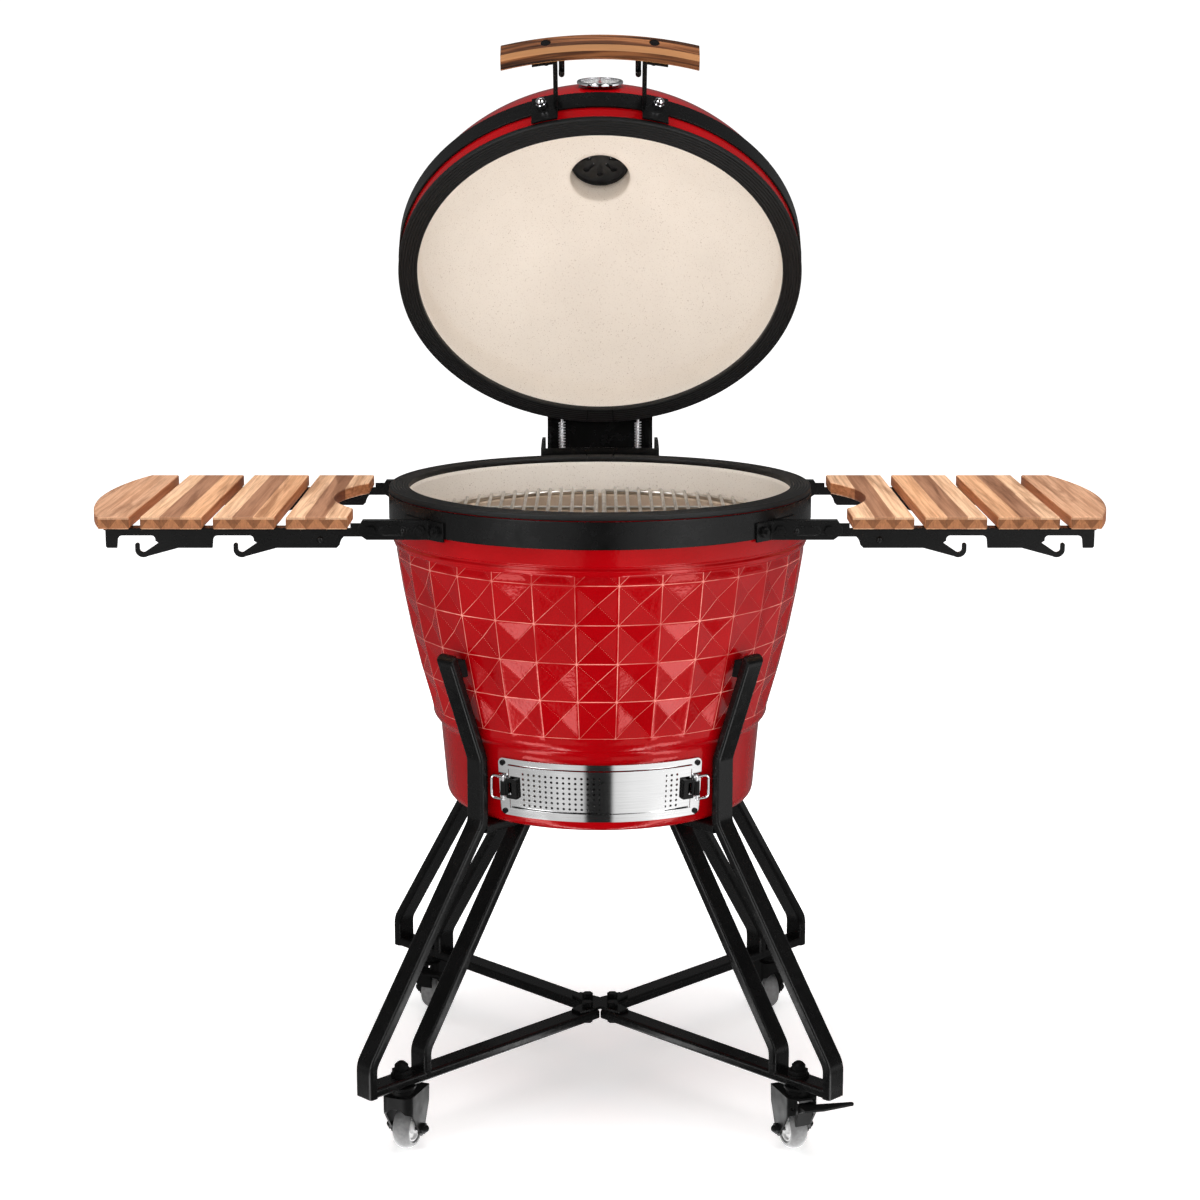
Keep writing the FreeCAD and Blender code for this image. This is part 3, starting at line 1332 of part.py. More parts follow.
def make_top_vent(place):
    """Iron collar on the chimney, a plate that swings aside on a pin and a daisy wheel on the plate."""
    top = size("chimney_top")
    gap = 0.3
    collar = spun(outline([
        (size("chimney_radius"), top), (size("chimney_radius"), top + 8), (72, top + 8), (74, top + 6),
        (74, top - 12), (size("neck_radius"), top - 12), (size("neck_radius"), top),
    ]))
    pin = rod(VENT_PIN + UP * (top + 7), VENT_PIN + UP * (top + 19), 3)
    pin = pin.fuse(dome(5.5, 4.5, VENT_PIN + UP * (top + 15.5), UP))
    feature("chimney_collar", collar.fuse(pin).removeSplitter(), place)
    low = top + 8 + gap
    plate = Part.makeCylinder(56, 6, upright(0, low)).fuse(Part.makeCylinder(9, 6, VENT_PIN + UP * low))
    ear = outline([(-9, -76), (9, -76), (14, -50), (-14, -50)], flat)
    plate = plate.fuse(slab(ear, low, 6, UP))
    plate = plate.cut(rod(VENT_PIN + UP * low, VENT_PIN + UP * (low + 9), 3 + size("running_gap")))
    plate = plate.cut(daisy_holes(low - 1, 9, 0)).removeSplitter()
    knob = rod(Vector(0, -68, low + 6), Vector(0, -68, low + 16), 5)
    spigot = rod(upright(0, low + 5), upright(0, low + 14), 3).fuse(dome(6, 5, upright(0, low + 11.6), UP))
    feature("vent_plate", plate.multiFuse([knob, spigot]).removeSplitter(), place)
    wheel_low = low + 6 + gap
    wheel = Part.makeCylinder(40, 5, upright(0, wheel_low))
    wheel = wheel.cut(rod(upright(0, low), upright(0, low + 14), 3 + size("running_gap")))
    wheel = wheel.cut(daisy_holes(wheel_low - 1, 9, 22.5))
    finger = outline([(34, -5), (50, -4), ((53, 0), (50, 4)), (34, 5)], flat)
    wheel = wheel.fuse(slab(finger, wheel_low, 5, UP)).removeSplitter()
    feature("daisy_wheel", wheel, place)


def arc_strip(x_range, low, high, inner, outer):
    """Part of the curve of the handle bar, between two radii and two X positions."""
    centre_y = -size("handle_reach") + size("handle_curve")
    strip = Part.makeCylinder(outer, high - low, Vector(0, centre_y, low))
    strip = strip.cut(Part.makeCylinder(inner, high - low, Vector(0, centre_y, low)))
    return strip.common(block(x_range, (-600, 0), (low, high)))


HANDLE_LEVEL = 940          # middle of the wooden bar, lid shut
HANDLE_BOLT_X = 74.5
STRAP_X = 62                # middle of a strap's upright
STRAP_HALF = 3
FOOT_LEVELS = (904, 956)    # lower and upper edge of a strap's foot on the lid band
HOOK_X = 53
HOOK_WIRE = 4


def handle_bar():
    """Arched wooden bar with bevelled edges, bored for two bolts."""
    low = HANDLE_LEVEL - size("handle_height") / 2
    high = HANDLE_LEVEL + size("handle_height") / 2
    half, depth = size("handle_half"), size("handle_depth")
    curve = size("handle_curve")
    bar = arc_strip((-half, half), low, high, curve - depth / 2, curve + depth / 2)
    bar = bar.makeChamfer(size("handle_bevel"), [e for e in bar.Edges if e.Length > 200])
    for side in (-1, 1):
        x = side * HANDLE_BOLT_X
        bar = bar.cut(rod(Vector(x, -450, HANDLE_LEVEL), Vector(x, -340, HANDLE_LEVEL), 3))
        bar = bar.cut(rod(Vector(x, -420, HANDLE_LEVEL), Vector(x, handle_face(x) + 4, HANDLE_LEVEL), 7))
    return bar


def handle_face(x):
    """Y of the handle bar's outer face at an X."""
    outer = size("handle_curve") + size("handle_depth") / 2
    centre_y = -size("handle_reach") + size("handle_curve")
    return centre_y - math.sqrt(outer ** 2 - x ** 2)


def handle_bracket():
    """Right-hand strap: a foot on the lid band, an upright and a tab under the wooden bar."""
    radius = size("rim_radius")
    curve_inner = size("handle_curve") - size("handle_depth") / 2
    low, high = HANDLE_LEVEL - 13, HANDLE_LEVEL + 13
    foot_low, foot_high = FOOT_LEVELS
    around = outline([
        (radius, foot_low), (radius + 3, foot_low), (radius + 3, foot_high), (radius, foot_high),
    ])
    foot = spun(around).common(block((STRAP_X - STRAP_HALF, 96), (-400, -200), FOOT_LEVELS))
    tab = arc_strip((STRAP_X - STRAP_HALF, 94), low, high, curve_inner - 3, curve_inner)
    upright_part = block((STRAP_X - STRAP_HALF, STRAP_X + STRAP_HALF), (-400, -290), (low, high))
    between = Part.makeCylinder(curve_inner, 60, Vector(0, size("handle_curve") - size("handle_reach"), 900))
    upright_part = upright_part.common(between).cut(Part.makeCylinder(radius, 80, Vector(0, 0, 900)))
    bracket = foot.multiFuse([tab, upright_part])
    bolt_x = HANDLE_BOLT_X
    bracket = bracket.cut(rod(Vector(bolt_x, -450, HANDLE_LEVEL), Vector(bolt_x, -340, HANDLE_LEVEL), 3))
    start_y = handle_face(HOOK_X) + size("handle_depth") + 1.5
    bend_y = -352
    hook_low = HANDLE_LEVEL - 16
    hook = wire_bar([Vector(HOOK_X, start_y, HANDLE_LEVEL), Vector(HOOK_X, bend_y, HANDLE_LEVEL),
                     Vector(HOOK_X, bend_y, hook_low), Vector(HOOK_X, bend_y - 9, hook_low)], 5.5, HOOK_WIRE)
    link = arc_strip((HOOK_X - 6, STRAP_X), HANDLE_LEVEL - 7, HANDLE_LEVEL + 7, curve_inner - 3, curve_inner)
    return bracket.multiFuse([link, hook])


def handle_fasteners():
    """Right-hand through bolt with its plug and nut, and the acorn nut that clamps the foot."""
    x = HANDLE_BOLT_X
    face = handle_face(x)
    head = rod(Vector(x, face + 0.6, HANDLE_LEVEL), Vector(x, face + 4, HANDLE_LEVEL), 7)
    shank_end = Vector(x, face + size("handle_depth") + 12, HANDLE_LEVEL)
    shank = rod(Vector(x, face + 4, HANDLE_LEVEL), shank_end, 3)
    nut = hexagon(10, 5, Vector(x, face + size("handle_depth") + 4.6, HANDLE_LEVEL), BACK)
    through = head.multiFuse([shank, nut]).removeSplitter()
    angle = math.radians(15.5)
    outward = Vector(math.sin(angle), -math.cos(angle), 0)
    seat = outward * (size("rim_radius") + 3) + UP * 934
    acorn = hexagon(14, 6, seat, outward).fuse(dome(6.5, 9, seat + outward * 6, outward)).removeSplitter()
    return [through, acorn]


def make_lid():
    pin = Vector(0, size("pin_back"), size("pin_height"))
    place = Placement(Vector(0, 0, 0), Rotation(RIGHT, -size("lid_angle")), pin)
    feature("lid_shell", lid_shell(), place)
    under = size("rim_height") + size("gasket_gap")
    gasket = ring("lid_gasket", "Sizes.rim_radius - 1", "Sizes.mouth_radius", "Sizes.gasket_thickness", under)
    doc.recompute()
    soft = node(round_outer_edge(gasket, "lid_gasket_soft", under), "lid_gasket")
    soft.Placement = place
    band = ring("lid_band", "Sizes.rim_radius", "Sizes.ceramic_radius",
                "Sizes.lid_band_top - Sizes.lid_band_bottom", size("lid_band_bottom"))
    slot = box("lid_band_slot", "6", "20", "60", Vector(-3, 290, 910))
    split = node(cut("lid_band_split", band, slot), "lid_band")
    split.Placement = place
    feature("lid_hinge_bracket", lid_hinge_bracket(), place)
    feature("lid_springs", Part.makeCompound(lid_springs()), place)
    feature("handle_bar", handle_bar(), place)
    feature("handle_brackets", both_sides(handle_bracket()), place)
    right = handle_fasteners()
    left = [mirror_left_right(fastener) for fastener in right]
    feature("handle_fasteners", Part.makeCompound(right + left), place)
    make_thermometer(place)
    make_top_vent(place)


# ---------------------------------------------------------------- put together, check and write

def check(thing):
    """Stops the build if a sub-part is broken."""
    shape = thing.Shape
    if "Invalid" in thing.State or "Error" in thing.State or shape.isNull() or not shape.isValid():
        raise RuntimeError("%s is broken: %s" % (thing.Label, thing.State))
    if not shape.Solids:
        raise RuntimeError("%s has no solid" % thing.Label)


make_bowl()
make_charcoal_grate()
make_cooking_grates()
make_draft_door()
make_stand()
make_casters()
make_shelves()
make_hinge()
make_lid()
doc.recompute()

os.makedirs("parts", exist_ok=True)
for thing in nodes:
    check(thing)
    thing.Shape.exportStep("parts/%s.step" % thing.Label)
print("%d sub-parts" % len(nodes))
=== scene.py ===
import json
import math

import bpy
import numpy as np
from mathutils import Matrix, Vector


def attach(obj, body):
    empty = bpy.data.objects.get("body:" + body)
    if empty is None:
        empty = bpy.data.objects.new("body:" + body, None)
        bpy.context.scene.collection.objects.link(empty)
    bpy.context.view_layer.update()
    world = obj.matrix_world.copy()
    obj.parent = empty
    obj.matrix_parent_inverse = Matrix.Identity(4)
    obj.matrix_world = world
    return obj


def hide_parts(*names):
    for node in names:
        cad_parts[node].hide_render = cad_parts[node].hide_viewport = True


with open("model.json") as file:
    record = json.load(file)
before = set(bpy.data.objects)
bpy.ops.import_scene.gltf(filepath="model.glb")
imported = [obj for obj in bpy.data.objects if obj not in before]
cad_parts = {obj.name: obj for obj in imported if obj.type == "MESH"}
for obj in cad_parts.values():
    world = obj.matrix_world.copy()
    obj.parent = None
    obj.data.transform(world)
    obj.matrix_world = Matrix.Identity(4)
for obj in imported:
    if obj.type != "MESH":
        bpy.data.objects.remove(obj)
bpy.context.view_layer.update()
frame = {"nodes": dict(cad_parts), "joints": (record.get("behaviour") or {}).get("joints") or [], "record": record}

# Looks for the kamado grill: red quilted ceramic, ribbed felt, laminated wood and black powder coat,
# in a white studio. Metres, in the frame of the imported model: the front faces -Y and the floor is Z = 0.

NODES = frame["nodes"]
JOINTS = {joint["name"]: joint for joint in frame["joints"]}

LID_HINGE = Vector(JOINTS["lid_hinge"]["pos_m"])
LID_OPEN = math.radians(51.5)
TO_OPEN_LID = (Matrix.Translation(LID_HINGE) @ Matrix.Rotation(-LID_OPEN, 4, "X")
               @ Matrix.Translation(-LID_HINGE))


# ---------------------------------------------------------------- building materials

class Paint:
    """One procedural material: a Principled surface and the nodes that feed it."""

    def __init__(self, name, color, roughness, metallic=0.0, **inputs):
        self.material = bpy.data.materials.new(name)
        self.material.use_nodes = True
        self.tree = self.material.node_tree
        self.surface = self.tree.nodes["Principled BSDF"]
        self.set("Base Color", (*color, 1.0))
        self.set("Roughness", roughness)
        self.set("Metallic", metallic)
        for key, value in inputs.items():
            self.set(key.replace("_", " "), value)

    def set(self, socket, value):
        self.surface.inputs[socket].default_value = value

    def node(self, kind, **settings):
        made = self.tree.nodes.new("ShaderNode" + kind)
        for key, value in settings.items():
            setattr(made, key, value)
        return made

    def join(self, source, target):
        self.tree.links.new(source, target)

    def math(self, operation, first, second=None):
        made = self.node("Math", operation=operation)
        for socket, value in zip(made.inputs, (first, second)):
            if isinstance(value, (int, float)):
                socket.default_value = value
            elif value is not None:
                self.join(value, socket)
        return made.outputs[0]

    def position(self, stretch=(1, 1, 1), turn=(0, 0, 0)):
        """Object coordinates, turned and then stretched."""
        place = self.node("TexCoord").outputs["Object"]
        mapping = self.node("Mapping", vector_type="POINT")
        mapping.inputs["Rotation"].default_value = turn
        self.join(place, mapping.inputs["Vector"])
        scaled = self.node("VectorMath", operation="MULTIPLY")
        scaled.inputs[1].default_value = stretch
        self.join(mapping.outputs[0], scaled.inputs[0])
        return scaled.outputs[0]

    def axes(self, place):
        split = self.node("SeparateXYZ")
        self.join(place, split.inputs[0])
        return split.outputs

    def noise(self, scale, detail=3, place=None, distortion=0.0, roughness=0.5):
        made = self.node("TexNoise")
        made.inputs["Scale"].default_value = scale
        made.inputs["Detail"].default_value = detail
        made.inputs["Roughness"].default_value = roughness
        made.inputs["Distortion"].default_value = distortion
        self.join(place or self.position(), made.inputs["Vector"])
        return made.outputs["Fac"]

    def ramp(self, factor, stops, interpolation="LINEAR"):
        """A colour ramp from (position, colour) stops; a plain number stands for a grey."""
        made = self.node("ValToRGB")
        made.color_ramp.interpolation = interpolation
        elements = made.color_ramp.elements
        for _ in range(len(stops) - 2):
            elements.new(0.5)
        for element, (position, color) in zip(elements, sorted(stops, key=lambda stop: stop[0])):
            if isinstance(color, (int, float)):
                color = (color, color, color)
            element.position = position
            element.color = (*color, 1.0)
        self.join(factor, made.inputs[0])
        return made.outputs[0]

    def mix(self, factor, first, second, blend="MIX"):
        made = self.node("Mix", data_type="RGBA", blend_type=blend)
        sockets = [s for s in made.inputs if s.enabled]
        for socket, value in zip(sockets, (factor, first, second)):
            if isinstance(value, (int, float)):
                socket.default_value = value
            elif isinstance(value, tuple):
                socket.default_value = (*value, 1.0)
            else:
                self.join(value, socket)
        return next(s for s in made.outputs if s.enabled)

    def shade(self, base, amount, factor, stops):
        """A colour multiplied by a ramp; amount 0 leaves it alone and 1 takes the whole ramp."""
        return self.mix(amount, base, self.ramp(factor, stops), "MULTIPLY")

    def color(self, source):
        self.join(source, self.surface.inputs["Base Color"])

    def rough(self, source):
        self.join(source, self.surface.inputs["Roughness"])

    def bump(self, height, depth, edge=0.0):
        """Bumps of the given depth in metres; edge is the radius of the corners in the shading."""
        made = self.node("Bump")
        made.inputs["Strength"].default_value = 1.0
        made.inputs["Distance"].default_value = depth
        self.join(height, made.inputs["Height"])
        if edge:
            rounded = self.node("Bevel", samples=4)
            rounded.inputs["Radius"].default_value = edge
            self.join(rounded.outputs[0], made.inputs["Normal"])
        self.join(made.outputs[0], self.surface.inputs["Normal"])
        return self


# Widths of the painted highlight lines on the quilting, as shares of half a cell, and how far the lines waver.
HIGHLIGHT_LINE_WIDTHS = {"ridge": 0.028, "crease": 0.020}
HIGHLIGHT_LINE_WANDER = 0.022
# Colour of the painted highlight lines.
HIGHLIGHT_LINE_RED = (0.92, 0.36, 0.29)


def red_glaze():
    """Deep red gloss with painted highlights: a paler red drawn along the ridges and creases of the quilting."""
    paint = Paint("red_glaze", (0.27, 0.001, 0.002), 0.08, Specular_IOR_Level=0.5,
                  Specular_Tint=(1.0, 0.31, 0.29, 1.0))
    body = paint.ramp(paint.noise(9, 3), [(0.3, (0.245, 0.0003, 0.0016)), (0.7, (0.31, 0.0007, 0.0028))])
    wander = paint.math("MULTIPLY", paint.math("SUBTRACT", paint.noise(60, 3), 0.5), HIGHLIGHT_LINE_WANDER)
    lines = []
    for name, width in HIGHLIGHT_LINE_WIDTHS.items():
        away = paint.node("Attribute", attribute_name=name).outputs["Fac"]
        stops = [(0.0, 1.0), (width * 0.35, 0.9), (width, 0.0)]
        lines.append(paint.ramp(paint.math("ADD", away, wander), stops))
    thin = paint.mix(1.0, lines[0], lines[1], "LIGHTEN")
    painted_highlight = paint.shade(thin, 1.0, paint.noise(13, 3), [(0.36, 0.12), (0.64, 0.80)])
    # Painted highlight: the paler red along the ridges and creases, stronger or weaker at random.
    paint.color(paint.mix(painted_highlight, body, HIGHLIGHT_LINE_RED))
    paint.rough(paint.ramp(paint.noise(30, 2), [(0.3, 0.06), (0.7, 0.11)]))
    waves = paint.mix(0.30, paint.noise(34, 2), paint.noise(230, 2))
    return paint.bump(waves, 0.0008).material


def cream_ceramic():
    """Matt cream with small brown specks."""
    paint = Paint("cream_ceramic", (0.86, 0.795, 0.72), 0.62, Specular_IOR_Level=0.2)
    base = paint.ramp(paint.noise(6, 4), [(0.3, (0.82, 0.752, 0.675)), (0.7, (0.90, 0.832, 0.752))])
    specks = [(0.30, (0.42, 0.33, 0.26)), (0.37, (1, 1, 1))]
    paint.color(paint.shade(base, 0.55, paint.noise(520, 2), specks))
    return paint.bump(paint.noise(260, 4), 0.0003).material


def fire_clay():
    paint = Paint("fire_clay", (0.62, 0.50, 0.39), 0.8)
    paint.color(paint.ramp(paint.noise(7, 5), [(0.3, (0.50, 0.38, 0.28)), (0.7, (0.70, 0.57, 0.45))]))
    return paint.bump(paint.noise(190, 4), 0.0006).material


def black_paint(name="black_powder_coat", tone=0.0030, roughness=0.24, edge=0.0018, gloss=0.22):
    """Fine-grained black; tone is its brightness and edge the radius of its corners."""
    paint = Paint(name, (tone, tone, tone), roughness, Specular_IOR_Level=gloss)
    paint.color(paint.ramp(paint.noise(14, 3), [(0.3, tone * 0.8), (0.7, tone * 1.25)]))
    paint.rough(paint.ramp(paint.noise(60, 3), [(0.3, roughness - 0.05), (0.7, roughness + 0.07)]))
    return paint.bump(paint.noise(1500, 2), 0.00003, edge).material


def ribbed_felt():
    paint = Paint("ribbed_felt", (0.005, 0.005, 0.0054), 0.55, Specular_IOR_Level=0.30)
    fibre = paint.noise(900, 4)
    paint.color(paint.ramp(fibre, [(0.35, 0.002), (0.7, 0.009)]))
    return paint.bump(fibre, 0.00018).material


# How much the lower wall of the bowl, and the door on it, lean down from square.
WALL_LEAN = -0.083
# Faces whose direction agrees with the round wall's at least this well are shaded as a part of it.
ON_WALL = 0.9


def wall_normal(paint, geometry):
    """Straight outward from the Z axis, leaning with the wall, and how well a face agrees with that."""
    level = paint.node("VectorMath", operation="MULTIPLY")
    level.inputs[1].default_value = (1, 1, 0)
    paint.join(geometry.outputs["Position"], level.inputs[0])
    outward = paint.node("VectorMath", operation="NORMALIZE")
    paint.join(level.outputs[0], outward.inputs[0])
    agreement = paint.node("VectorMath", operation="DOT_PRODUCT")
    paint.join(outward.outputs[0], agreement.inputs[0])
    paint.join(geometry.outputs["True Normal"], agreement.inputs[1])
    leaning = paint.node("VectorMath", operation="ADD")
    leaning.inputs[1].default_value = (0, 0, WALL_LEAN)
    paint.join(outward.outputs[0], leaning.inputs[0])
    square = paint.node("VectorMath", operation="NORMALIZE")
    paint.join(leaning.outputs[0], square.inputs[0])
    return square.outputs[0], agreement.outputs["Value"]


def brushed_steel():
    """Brushed sheet. Faces that follow the round wall are shaded as one smooth curve about the Z axis."""
    paint = Paint("brushed_stainless", (0.80, 0.80, 0.81), 0.13, 1.0)
    lines = paint.noise(1.0, 3, paint.position((14, 14, 900)))
    paint.color(paint.ramp(lines, [(0.25, 0.70), (0.75, 0.80)]))
    paint.rough(paint.ramp(lines, [(0.3, 0.07), (0.7, 0.11)]))
    wall, agreement = wall_normal(paint, paint.node("NewGeometry"))
    rounded = paint.node("Bevel", samples=4)
    rounded.inputs["Radius"].default_value = 0.0006
    choice = paint.node("Mix", data_type="VECTOR")
    sockets = [s for s in choice.inputs if s.enabled]
    paint.join(paint.math("GREATER_THAN", agreement, ON_WALL), sockets[0])
    paint.join(rounded.outputs[0], sockets[1])
    paint.join(wall, sockets[2])
    paint.join(next(s for s in choice.outputs if s.enabled), paint.surface.inputs["Normal"])
    return paint.material


def sooty_steel():
    paint = Paint("sooty_steel", (0.012, 0.012, 0.012), 0.85)
    paint.color(paint.ramp(paint.noise(30, 4), [(0.3, 0.006), (0.7, 0.022)]))
    return paint.bump(paint.noise(400, 3), 0.0002).material


def chrome():
    paint = Paint("chrome", (0.90, 0.90, 0.92), 0.07, 1.0)
    return paint.bump(paint.noise(120, 2), 0.00003, 0.0005).material


def spring_wire():
    paint = Paint("spring_wire", (0.86, 0.86, 0.88), 0.32, 0.55)
    return paint.bump(paint.noise(400, 2), 0.00004).material


def grate_rod():
    paint = Paint("grate_rod", (0.62, 0.60, 0.57), 0.30, 1.0)
    paint.color(paint.ramp(paint.noise(40, 3), [(0.3, (0.45, 0.43, 0.40)), (0.7, (0.74, 0.72, 0.69))]))
    return paint.bump(paint.noise(300, 3), 0.00008).material


def cast_iron():
    paint = Paint("cast_iron", (0.020, 0.020, 0.021), 0.55)
    paint.color(paint.ramp(paint.noise(90, 4), [(0.3, 0.012), (0.75, 0.032)]))
    return paint.bump(paint.noise(420, 4), 0.0003, 0.0010).material


def grey_rubber():
    paint = Paint("grey_rubber", (0.15, 0.15, 0.152), 0.55)
    paint.color(paint.ramp(paint.noise(220, 4), [(0.3, 0.11), (0.7, 0.16)]))
    return paint.bump(paint.noise(700, 3), 0.00012).material


def pale_hub():
    paint = Paint("pale_hub", (0.62, 0.62, 0.61), 0.42)
    paint.color(paint.ramp(paint.noise(60, 3), [(0.3, 0.55), (0.7, 0.68)]))
    return paint.bump(paint.noise(500, 2), 0.00005, 0.0006).material


def clear_glass():
    paint = Paint("clear_glass", (1, 1, 1), 0.02, Transmission_Weight=1.0)
    return paint.bump(paint.noise(20, 1), 0.00001).material


def needle_red():
    paint = Paint("needle_red", (0.55, 0.02, 0.015), 0.4)
    return paint.bump(paint.noise(300, 1), 0.00001).material


def dial_white():
    paint = Paint("dial_white", (0.84, 0.84, 0.82), 0.5)
    paint.color(paint.ramp(paint.noise(50, 2), [(0.3, 0.80), (0.7, 0.86)]))
    return paint.material


# Each slat is glued from three strips; the colours run from the bowl outward.
PALE, TAN, WALNUT, ROSE = (0.92, 0.60, 0.38), (0.82, 0.47, 0.265), (0.42, 0.215, 0.125), (0.72, 0.42, 0.26)
SLAT_STRIPS = [(PALE, WALNUT, PALE), (TAN, WALNUT, PALE), (TAN, WALNUT, PALE), (ROSE, ROSE, ROSE)]
STRIPS_PER_SLAT = 3
SLAT_START, SLAT_PITCH, SLAT_WIDTH = 0.340, 0.098, 0.083
SLAT_TOP, SLAT_THICKNESS = 0.877, 0.017

# End grain: the paler lower and darker upper part of each strip, and the stain over the top layer, which is this
# share deep.
LOW_FACET, HIGH_FACET, STAIN = (0.29, 0.115, 0.045), (0.17, 0.062, 0.022), (0.20, 0.080, 0.030)
TOP_LAYER = 0.22

# A face counts as lying flat, or as a slat's end, when its normal has at least this share along the axis.
LYING_FLAT, FACING_END = 0.55, 0.75


def strip_colors(paint, reach):
    """Colour of the strip at a distance to the side of the bowl's axis."""
    span = SLAT_PITCH * len(SLAT_STRIPS)
    stops = []
    for slat, strips in enumerate(SLAT_STRIPS):
        for strip, color in enumerate(strips):
            stops.append(((slat * SLAT_PITCH + strip * SLAT_WIDTH / STRIPS_PER_SLAT) / span, color))
    along_shelf = paint.math("DIVIDE", paint.math("SUBTRACT", reach, SLAT_START), span)
    return paint.ramp(along_shelf, stops, "CONSTANT")


def end_grain(paint, reach, height, strips):
    """A paler triangle rising from the bottom of each strip and darker upper corners, under a thin layer in the
    strip's own colour.
    """
    slat_place = paint.math("DIVIDE", paint.math("SUBTRACT", reach, SLAT_START), SLAT_PITCH)
    strips_per_pitch = STRIPS_PER_SLAT * SLAT_PITCH / SLAT_WIDTH
    strip_place = paint.math("MULTIPLY", paint.math("FRACT", slat_place), strips_per_pitch)
    across_strip = paint.math("MULTIPLY", paint.math("FRACT", strip_place), 2.0)
    off_centre = paint.math("ABSOLUTE", paint.math("SUBTRACT", across_strip, 1.0))
    depth = paint.math("DIVIDE", paint.math("SUBTRACT", SLAT_TOP, height), SLAT_THICKNESS)
    tone = paint.mix(paint.math("GREATER_THAN", depth, off_centre), HIGH_FACET, LOW_FACET)
    tone = paint.mix(paint.math("LESS_THAN", depth, TOP_LAYER), tone, paint.mix(0.6, strips, STAIN))
    fibres = paint.noise(1.0, 4, paint.position((420, 8, 160)), 1.0)
    return paint.shade(tone, 1.0, fibres, [(0.3, 0.70), (0.7, 1.12)])


def shelf_wood():
    """Oiled strips with grain along Y; painted shade darkens the long side faces, and the end faces on the front
    and back show a paler triangle rising from the bottom of each strip.
    """
    paint = Paint("shelf_wood", TAN, 0.45, Specular_IOR_Level=0.25)
    place = paint.axes(paint.position())
    reach, height = paint.math("ABSOLUTE", place[0]), place[2]
    strips = strip_colors(paint, reach)
    figure = paint.noise(1.0, 6, paint.position((26, 1.7, 26)), 1.6, 0.62)
    streak = paint.noise(1.0, 4, paint.position((240, 5, 240)), 0.4)
    pores = paint.noise(1.0, 2, paint.position((900, 22, 900)))
    grain = [(0.38, (0.42, 0.32, 0.26)), (0.48, (0.90, 0.86, 0.84)), (0.70, (1.15, 1.10, 1.04))]
    top = paint.shade(strips, 0.70, figure, grain)
    top = paint.shade(top, 0.75, streak, [(0.38, (0.62, 0.52, 0.45)), (0.58, (1, 1, 1))])
    top = paint.shade(top, 0.4, pores, [(0.36, (0.55, 0.45, 0.4)), (0.45, (1, 1, 1))])
    # Painted shade: faces that do not lie flat, the long sides, take the top's colour darkened, as if turned away
    # from the light.
    side = paint.mix(1.0, top, (0.66, 0.44, 0.30), "MULTIPLY")
    normal = paint.axes(paint.node("NewGeometry").outputs["Normal"])
    lies_flat = paint.math("GREATER_THAN", paint.math("ABSOLUTE", normal[2]), LYING_FLAT)
    at_end = paint.math("GREATER_THAN", paint.math("ABSOLUTE", normal[1]), FACING_END)
    body = paint.mix(lies_flat, side, top)
    paint.color(paint.mix(at_end, body, end_grain(paint, reach, height, strips)))
    return paint.bump(paint.mix(0.5, streak, pores), 0.00012, 0.0008).material


# The grain of the handle bar follows its arch: it bends down by this much times the square of X, in metres.
BAR_BEND = 1.0
# Faces slanting more than this, by the product of their normal's Y and Z shares, take the painted bevel highlight.
ON_BEVEL = 0.3


def handle_wood():
    """Walnut-brown bar with long dark streaks that follow its curve, and a painted highlight in paler brown on the
    slanting bevel faces.
    """
    paint = Paint("handle_wood", (0.20, 0.07, 0.022), 0.42, Specular_IOR_Level=0.22)
    x, y, z = paint.axes(paint.position(turn=(LID_OPEN, 0, 0)))
    bend = paint.math("MULTIPLY", paint.math("MULTIPLY", x, x), -BAR_BEND)
    joined = paint.node("CombineXYZ")
    for socket, source, stretch in zip(joined.inputs, (x, paint.math("ADD", y, bend), z), (3.2, 95, 95)):
        paint.join(paint.math("MULTIPLY", source, stretch), socket)
    figure = paint.noise(1.0, 5, joined.outputs[0], 1.1, 0.6)
    fine = paint.node("VectorMath", operation="MULTIPLY")
    fine.inputs[1].default_value = (3, 6, 6)
    paint.join(joined.outputs[0], fine.inputs[0])
    pores = paint.noise(1.0, 3, fine.outputs[0])
    brown = paint.ramp(figure, [(0.36, (0.016, 0.006, 0.003)), (0.47, (0.085, 0.028, 0.009)),
                                (0.56, (0.185, 0.066, 0.022)), (0.72, (0.27, 0.105, 0.036))])
    grain = paint.shade(brown, 0.55, pores, [(0.35, (0.50, 0.42, 0.36)), (0.55, (1, 1, 1))])
    turned = paint.node("VectorRotate", rotation_type="X_AXIS")
    turned.inputs["Angle"].default_value = LID_OPEN
    paint.join(paint.node("NewGeometry").outputs["True Normal"], turned.inputs["Vector"])
    normal = paint.axes(turned.outputs[0])
    slanting = paint.math("MULTIPLY", paint.math("ABSOLUTE", normal[1]), paint.math("ABSOLUTE", normal[2]))
    # Painted highlight: faces that slant between the bar's main faces take a paler brown, as where the bevels
    # catch the light.
    painted_bevel_highlight = paint.mix(0.58, grain, (0.46, 0.22, 0.090))
    paint.color(paint.mix(paint.math("GREATER_THAN", slanting, ON_BEVEL), grain, painted_bevel_highlight))
    return paint.bump(pores, 0.00006, 0.0008).material


